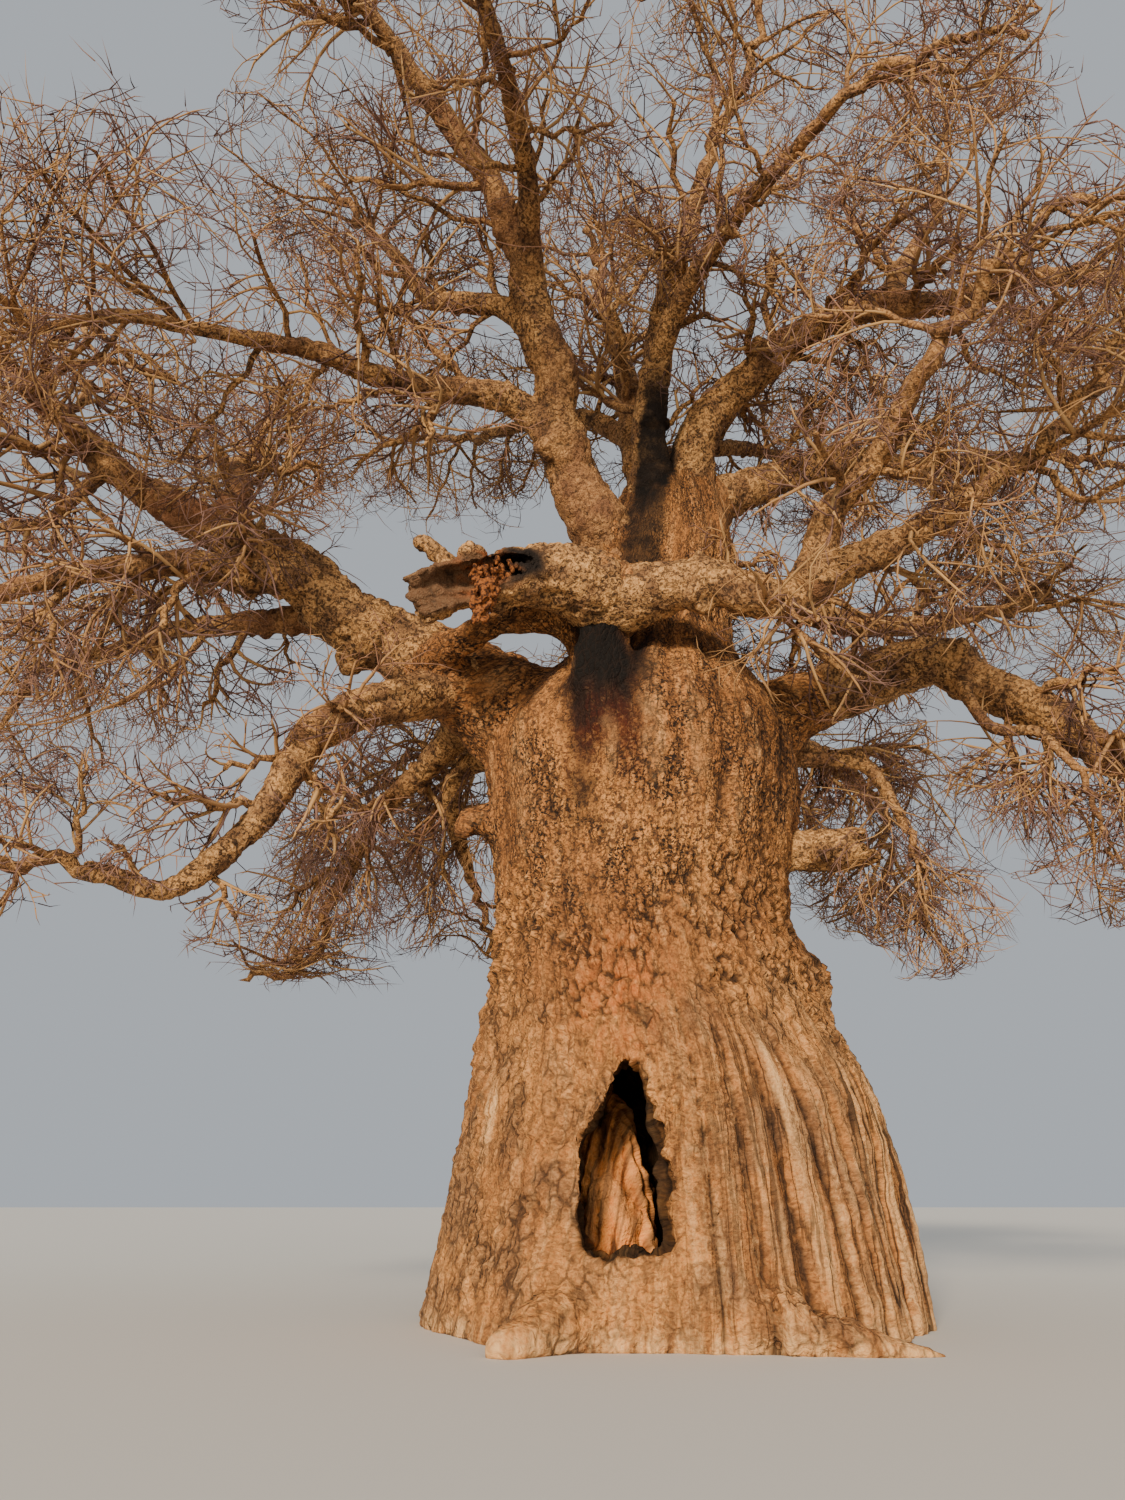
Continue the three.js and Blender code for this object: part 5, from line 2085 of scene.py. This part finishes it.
    def children(self, brood: Brood, lines: Array, number: int, whole: float) -> Brood:
        """The next level's twigs, spread along and round their parents by the golden share and turn.

        Args:
            brood: the parents.
            lines: the lines that they are drawn along.
            number: the parents' level.
            whole: how much of their full length the parents reached.

        Returns:
            The children.
        """
        following = self.levels[number + 1]
        rows = np.arange(len(brood.key))
        last = lines.shape[1] - 1
        broods = []
        count = self.levels[number].children * (self.fullness if number == 0 else 1)
        for index in range(math.ceil(count * whole)):
            key = child_keys(brood.key, index)
            share = 0.2 + 0.74 * ((GOLDEN_SHARE * (index + 1) + draw(brood.key, 40)) % 1)
            step = np.minimum(last - 1, (share * last).astype(int))
            first = lines[rows, step]
            way = lines[rows, step + 1] - first
            place = first + way * (share * last - step)[:, None]
            way = unit(way)
            turn = np.radians(GOLDEN_TURN * index + 360 * draw(brood.key, 41) + 50 * draw(key, 42))
            splay = np.radians(self.splay[0] + (self.splay[1] - self.splay[0]) * draw(key, 43))
            across = square_to(way)
            other = np.cross(way, across)
            direction = (way * np.cos(splay)[:, None]
                         + across * (np.sin(splay) * np.cos(turn))[:, None]
                         + other * (np.sin(splay) * np.sin(turn))[:, None])
            length = brood.length * following.length * (1 - 0.4 * share) * (0.75 + 0.5 * draw(key, 44))
            if following.kind is Kind.TWIG:
                length = length * (1 + self.trail * max(0.0, self.space.grown.limb.space.hang))
            radius = brood.radius * (1 - (1 - self.tip_girth) * share) * following.girth
            spray = spray_of(key) if number < 2 else brood.spray
            radius = np.maximum(radius, self.finest)
            broods.append(Brood(key, place, direction, length, radius, spray, sleeved=brood.sleeved))
        return Brood.joined(broods)

    def tubes(self, brood: Brood, lines: Array, number: int, mesh: "TubeMesh") -> None:
        """Draws twigs as pointed tubes.

        Args:
            brood: the twigs.
            lines: the lines that they are drawn along.
            number: their level.
            mesh: the mesh that takes them.
        """
        level = self.levels[number]
        share = np.linspace(0, 1, lines.shape[1])
        radii = brood.radius[:, None] * (1 - (1 - self.tip_girth) * share)
        tone = np.zeros(len(brood.key), dtype=int)
        if level.kind is Kind.BRANCH:
            knobs = np.sin(2 * np.pi * (3.1 * share * lines.shape[1] / 8 + draw(brood.key, 76)[:, None]))
            radii = radii * (1 + 0.1 * knobs * np.minimum(1, 4 * share))
        else:
            thick, thin = TwigTone.dealt()
            shades = thick if number == 2 else thin
            tone = np.array(shades)[brood.spray % len(shades)]
        mesh.add(lines, radii, level.sides, tone)

    def grow_all(self, brood: Brood, first: int, meshes: dict[Kind, "TubeMesh"]) -> None:
        """Grows a brood and all that branches from it.

        Args:
            brood: the first twigs.
            first: their level's number.
            meshes: the meshes that take branches and twigs.
        """
        for number in range(first, len(self.levels)):
            level = self.levels[number]
            points, made = self.grow(brood, level)
            broods = []
            for joints in np.unique(made[made > 0]):
                rows = made == joints
                group = brood.pick(rows)
                lines = self.drawn(group, points[rows, :joints + 1], level)
                self.tubes(group, lines, number, meshes[level.kind])
                if level.children:
                    broods.append(self.children(group, lines, number, joints / level.joints))
            if not broods:
                return
            brood = Brood.joined(broods)

    def build(self, bark: Material, tones: list[Material]) -> None:
        """Grows the mass and makes it two pieces, its branches and its twigs.

        Args:
            bark: the branches' finish.
            tones: the twigs' plain finishes.
        """
        meshes = {kind: TubeMesh() for kind in Kind}
        self.grow_all(self.stem(), 0, meshes)
        self.grow_all(self.side_brood(), 1, meshes)
        name = self.space.grown.limb.name.replace("_bough", "")
        for kind, finishes in ((Kind.BRANCH, [bark]), (Kind.TWIG, tones)):
            piece = meshes[kind].piece(f"{name}_{kind.value}")
            finish(piece, finishes, Slot.TWIG, f"{name}_twigs")


def smooth_line(points: Array, finer: int) -> Array:
    """Lines with more points on a smooth curve through their joints.

    Args:
        points: lines by joints by three numbers.
        finer: steps for each joint.

    Returns:
        The finer lines.
    """
    if finer == 1 or points.shape[1] < 3:
        return points
    before = np.concatenate((points[:, :1], points[:, :-1]), axis=1)
    after = np.concatenate((points[:, 1:], points[:, -1:]), axis=1)
    slope = (after - before) / 2
    t = (np.arange(finer) / finer)[None, None, :, None]
    a = points[:, :-1, None]
    b = points[:, 1:, None]
    m = slope[:, :-1, None]
    n = slope[:, 1:, None]
    curve = ((2 * t ** 3 - 3 * t ** 2 + 1) * a + (t ** 3 - 2 * t ** 2 + t) * m
             + (3 * t ** 2 - 2 * t ** 3) * b + (t ** 3 - t ** 2) * n)
    flat = curve.reshape(len(points), -1, 3)
    return np.concatenate((flat, points[:, -1:]), axis=1)


class TubeMesh:
    """Many pointed tubes, gathered as arrays and made one mesh."""

    def __init__(self) -> None:
        """Starts with no tubes."""
        self.places: list[Array] = []
        self.quads: list[Array] = []
        self.triangles: list[Array] = []
        self.quad_material: list[Array] = []
        self.triangle_material: list[Array] = []
        self.count = 0

    def add(self, lines: Array, radii: Array, sides: int, material: Array) -> None:
        """Adds a tube along each line, closed at its foot and pointed at its tip.

        Args:
            lines: lines by points by three numbers.
            radii: the radius at each point.
            sides: the number of flat sides.
            material: each tube's material number.
        """
        number, length, _ = lines.shape
        ways = unit(np.gradient(lines, axis=1))
        across = square_to(ways[:, 0])
        angles = 2 * np.pi * np.arange(sides)[:, None] / sides
        rings = []
        for i in range(length - 1):
            across = unit(across - (across * ways[:, i]).sum(-1, keepdims=True) * ways[:, i])
            other = np.cross(ways[:, i], across)
            out = np.cos(angles) * across[:, None] + np.sin(angles) * other[:, None]
            rings.append(lines[:, i, None] + out * radii[:, i, None, None])
        foot = lines[:, :1] - ways[:, :1] * radii[:, :1, None] * 0.6
        body = np.concatenate(rings + [lines[:, -1:], foot], axis=1)
        per = body.shape[1]
        base = self.count + per * np.arange(number)[:, None]
        here = np.arange(sides)
        nearby = (here + 1) % sides
        ring = sides * np.arange(length - 2)[:, None]
        wall = np.stack((ring + here, ring + nearby, ring + sides + nearby, ring + sides + here), axis=-1)
        wall = wall.reshape(-1, 4)
        end = sides * (length - 2)
        tip = np.column_stack((end + here, end + nearby, np.full(sides, per - 2)))
        cap = np.column_stack((nearby, here, np.full(sides, per - 1)))
        ends = np.vstack((tip, cap))
        self.places.append(body.reshape(-1, 3))
        self.quads.append((base[:, :, None] + wall[None]).reshape(-1, 4))
        self.triangles.append((base[:, :, None] + ends[None]).reshape(-1, 3))
        self.quad_material.append(np.repeat(material, len(wall)))
        self.triangle_material.append(np.repeat(material, len(ends)))
        self.count += number * per

    def piece(self, name: str) -> Piece:
        """Makes one object of all the tubes.

        Args:
            name: the object's name.

        Returns:
            The object, linked into the scene.
        """
        places = np.vstack(self.places)
        quads = np.vstack(self.quads)
        triangles = np.vstack(self.triangles)
        mesh = bpy.data.meshes.new(name)
        mesh.vertices.add(len(places))
        mesh.vertices.foreach_set("co", places.astype(np.float32).ravel())
        corners = np.concatenate((quads.ravel(), triangles.ravel())).astype(np.int32)
        mesh.loops.add(len(corners))
        mesh.loops.foreach_set("vertex_index", corners)
        starts = np.concatenate((4 * np.arange(len(quads)), 4 * len(quads) + 3 * np.arange(len(triangles))))
        mesh.polygons.add(len(starts))
        mesh.polygons.foreach_set("loop_start", starts.astype(np.int32))
        material = np.concatenate(self.quad_material + self.triangle_material)
        mesh.update(calc_edges=True)
        mesh.polygons.foreach_set("material_index", material.astype(np.int32))
        mesh.validate()
        piece = bpy.data.objects.new(name, mesh)
        bpy.context.scene.collection.objects.link(piece)
        # an even relief value, which paints no shade on the twigs
        paint_attribute(piece, "crest", np.full(len(places), 0.6))
        paint_attribute(piece, "ruddy", np.full(len(places), RUDDY_ELSEWHERE))
        return piece


# The studio

@dataclass(frozen=True)
class Sun:
    """A wide soft light from far off.

    bearing and climb say where it stands, seen from the tree, and softness how wide it looks, in degrees.
    """

    name: str
    strength: float
    bearing: float
    climb: float
    softness: float
    colour: Triple

    def hang(self) -> None:
        """Adds the light to the scene."""
        bpy.ops.object.light_add(type="SUN")
        light = bpy.context.object
        light.name = self.name
        light.data.energy = self.strength
        light.data.angle = math.radians(self.softness)
        light.data.color = self.colour
        way = Vector(heading(self.bearing, self.climb))
        light.rotation_euler = way.to_track_quat("Z", "Y").to_euler()


@dataclass(frozen=True)
class Studio:
    """A pale floor, soft light, and the photograph's camera."""

    camera_at: Triple = (-1.67, -17.4, 1.6)
    pitch: float = 22.6
    lens: float = 26.0
    sensor: float = 36.0
    floor_half: float = 300.0
    floor_colour: str = "d9d4cb"
    sky_colour: str = "dfe6ee"
    sky_strength: float = 0.62
    suns: tuple[Sun, ...] = (
        Sun("key", 5.2, -162.0, 16.0, 10.0, (1.0, 0.86, 0.67)),
        Sun("fill", 0.7, 168.0, 10.0, 40.0, (1.0, 0.93, 0.85)),
    )

    def camera(self) -> None:
        """Places the camera at the photograph's viewing angle."""
        bpy.ops.object.camera_add(location=self.camera_at, rotation=(math.radians(90 + self.pitch), 0, 0))
        camera = bpy.context.object
        camera.data.sensor_fit = "VERTICAL"
        camera.data.sensor_height = self.sensor
        camera.data.lens = self.lens
        camera.data.clip_end = 1000
        bpy.context.scene.camera = camera

    def floor(self) -> None:
        """Lays the plain pale floor."""
        bpy.ops.object.select_all(action="DESELECT")
        bpy.ops.mesh.primitive_plane_add(size=2 * self.floor_half)
        floor = bpy.context.object
        floor.name = "floor"
        floor.data.materials.append(Paint("floor_finish", self.floor_colour).done(None, 0, 0.9))

    def build(self) -> None:
        """Sets up camera, floor and lights."""
        self.camera()
        self.floor()
        for sun in self.suns:
            sun.hang()
        world = bpy.data.worlds.new("studio")
        world.use_nodes = True
        backdrop = world.node_tree.nodes["Background"]
        backdrop.inputs["Color"].default_value = rgb(self.sky_colour)
        backdrop.inputs["Strength"].default_value = self.sky_strength
        bpy.context.scene.world = world


def build_twigs(limbs: dict[str, Grown], bark: Material) -> None:
    """Grows every mass of twigs in its own space.

    Args:
        limbs: every grown limb by name.
        bark: the boughs' finish, for the thick branches.
    """
    spaces = [Space(grown, number) for number, grown in enumerate(limbs.values()) if grown.limb.space]
    stretches = Stretches.of(limbs)
    tones = [tone.material() for tone in TwigTone]
    for index, space in enumerate(spaces):
        space.others = np.array([other.middle for other in spaces if other is not space])
        near = stretches.near(space.middle, space.reach + 0.7 * space.grown.path.length)
        TwigMass(space, index + 1, near).build(bark, tones)


def main() -> None:
    """Builds the studio, the trunk, the boughs and the twigs in order."""
    logging.basicConfig(level=logging.INFO, format="%(name)s %(message)s")
    Studio().build()
    limbs = grow_limbs()
    Trunk().build(limbs)
    bark = BoughBark().material()
    kinds = {"broken_bough": BrokenBough, "cut_stub": CutStub}
    for number, limb in enumerate(BOUGHS):
        kinds.get(limb.name, Bough)(limbs[limb.name], number).build(bark)
    build_twigs(limbs, bark)


if __name__ == "__main__":
    main()
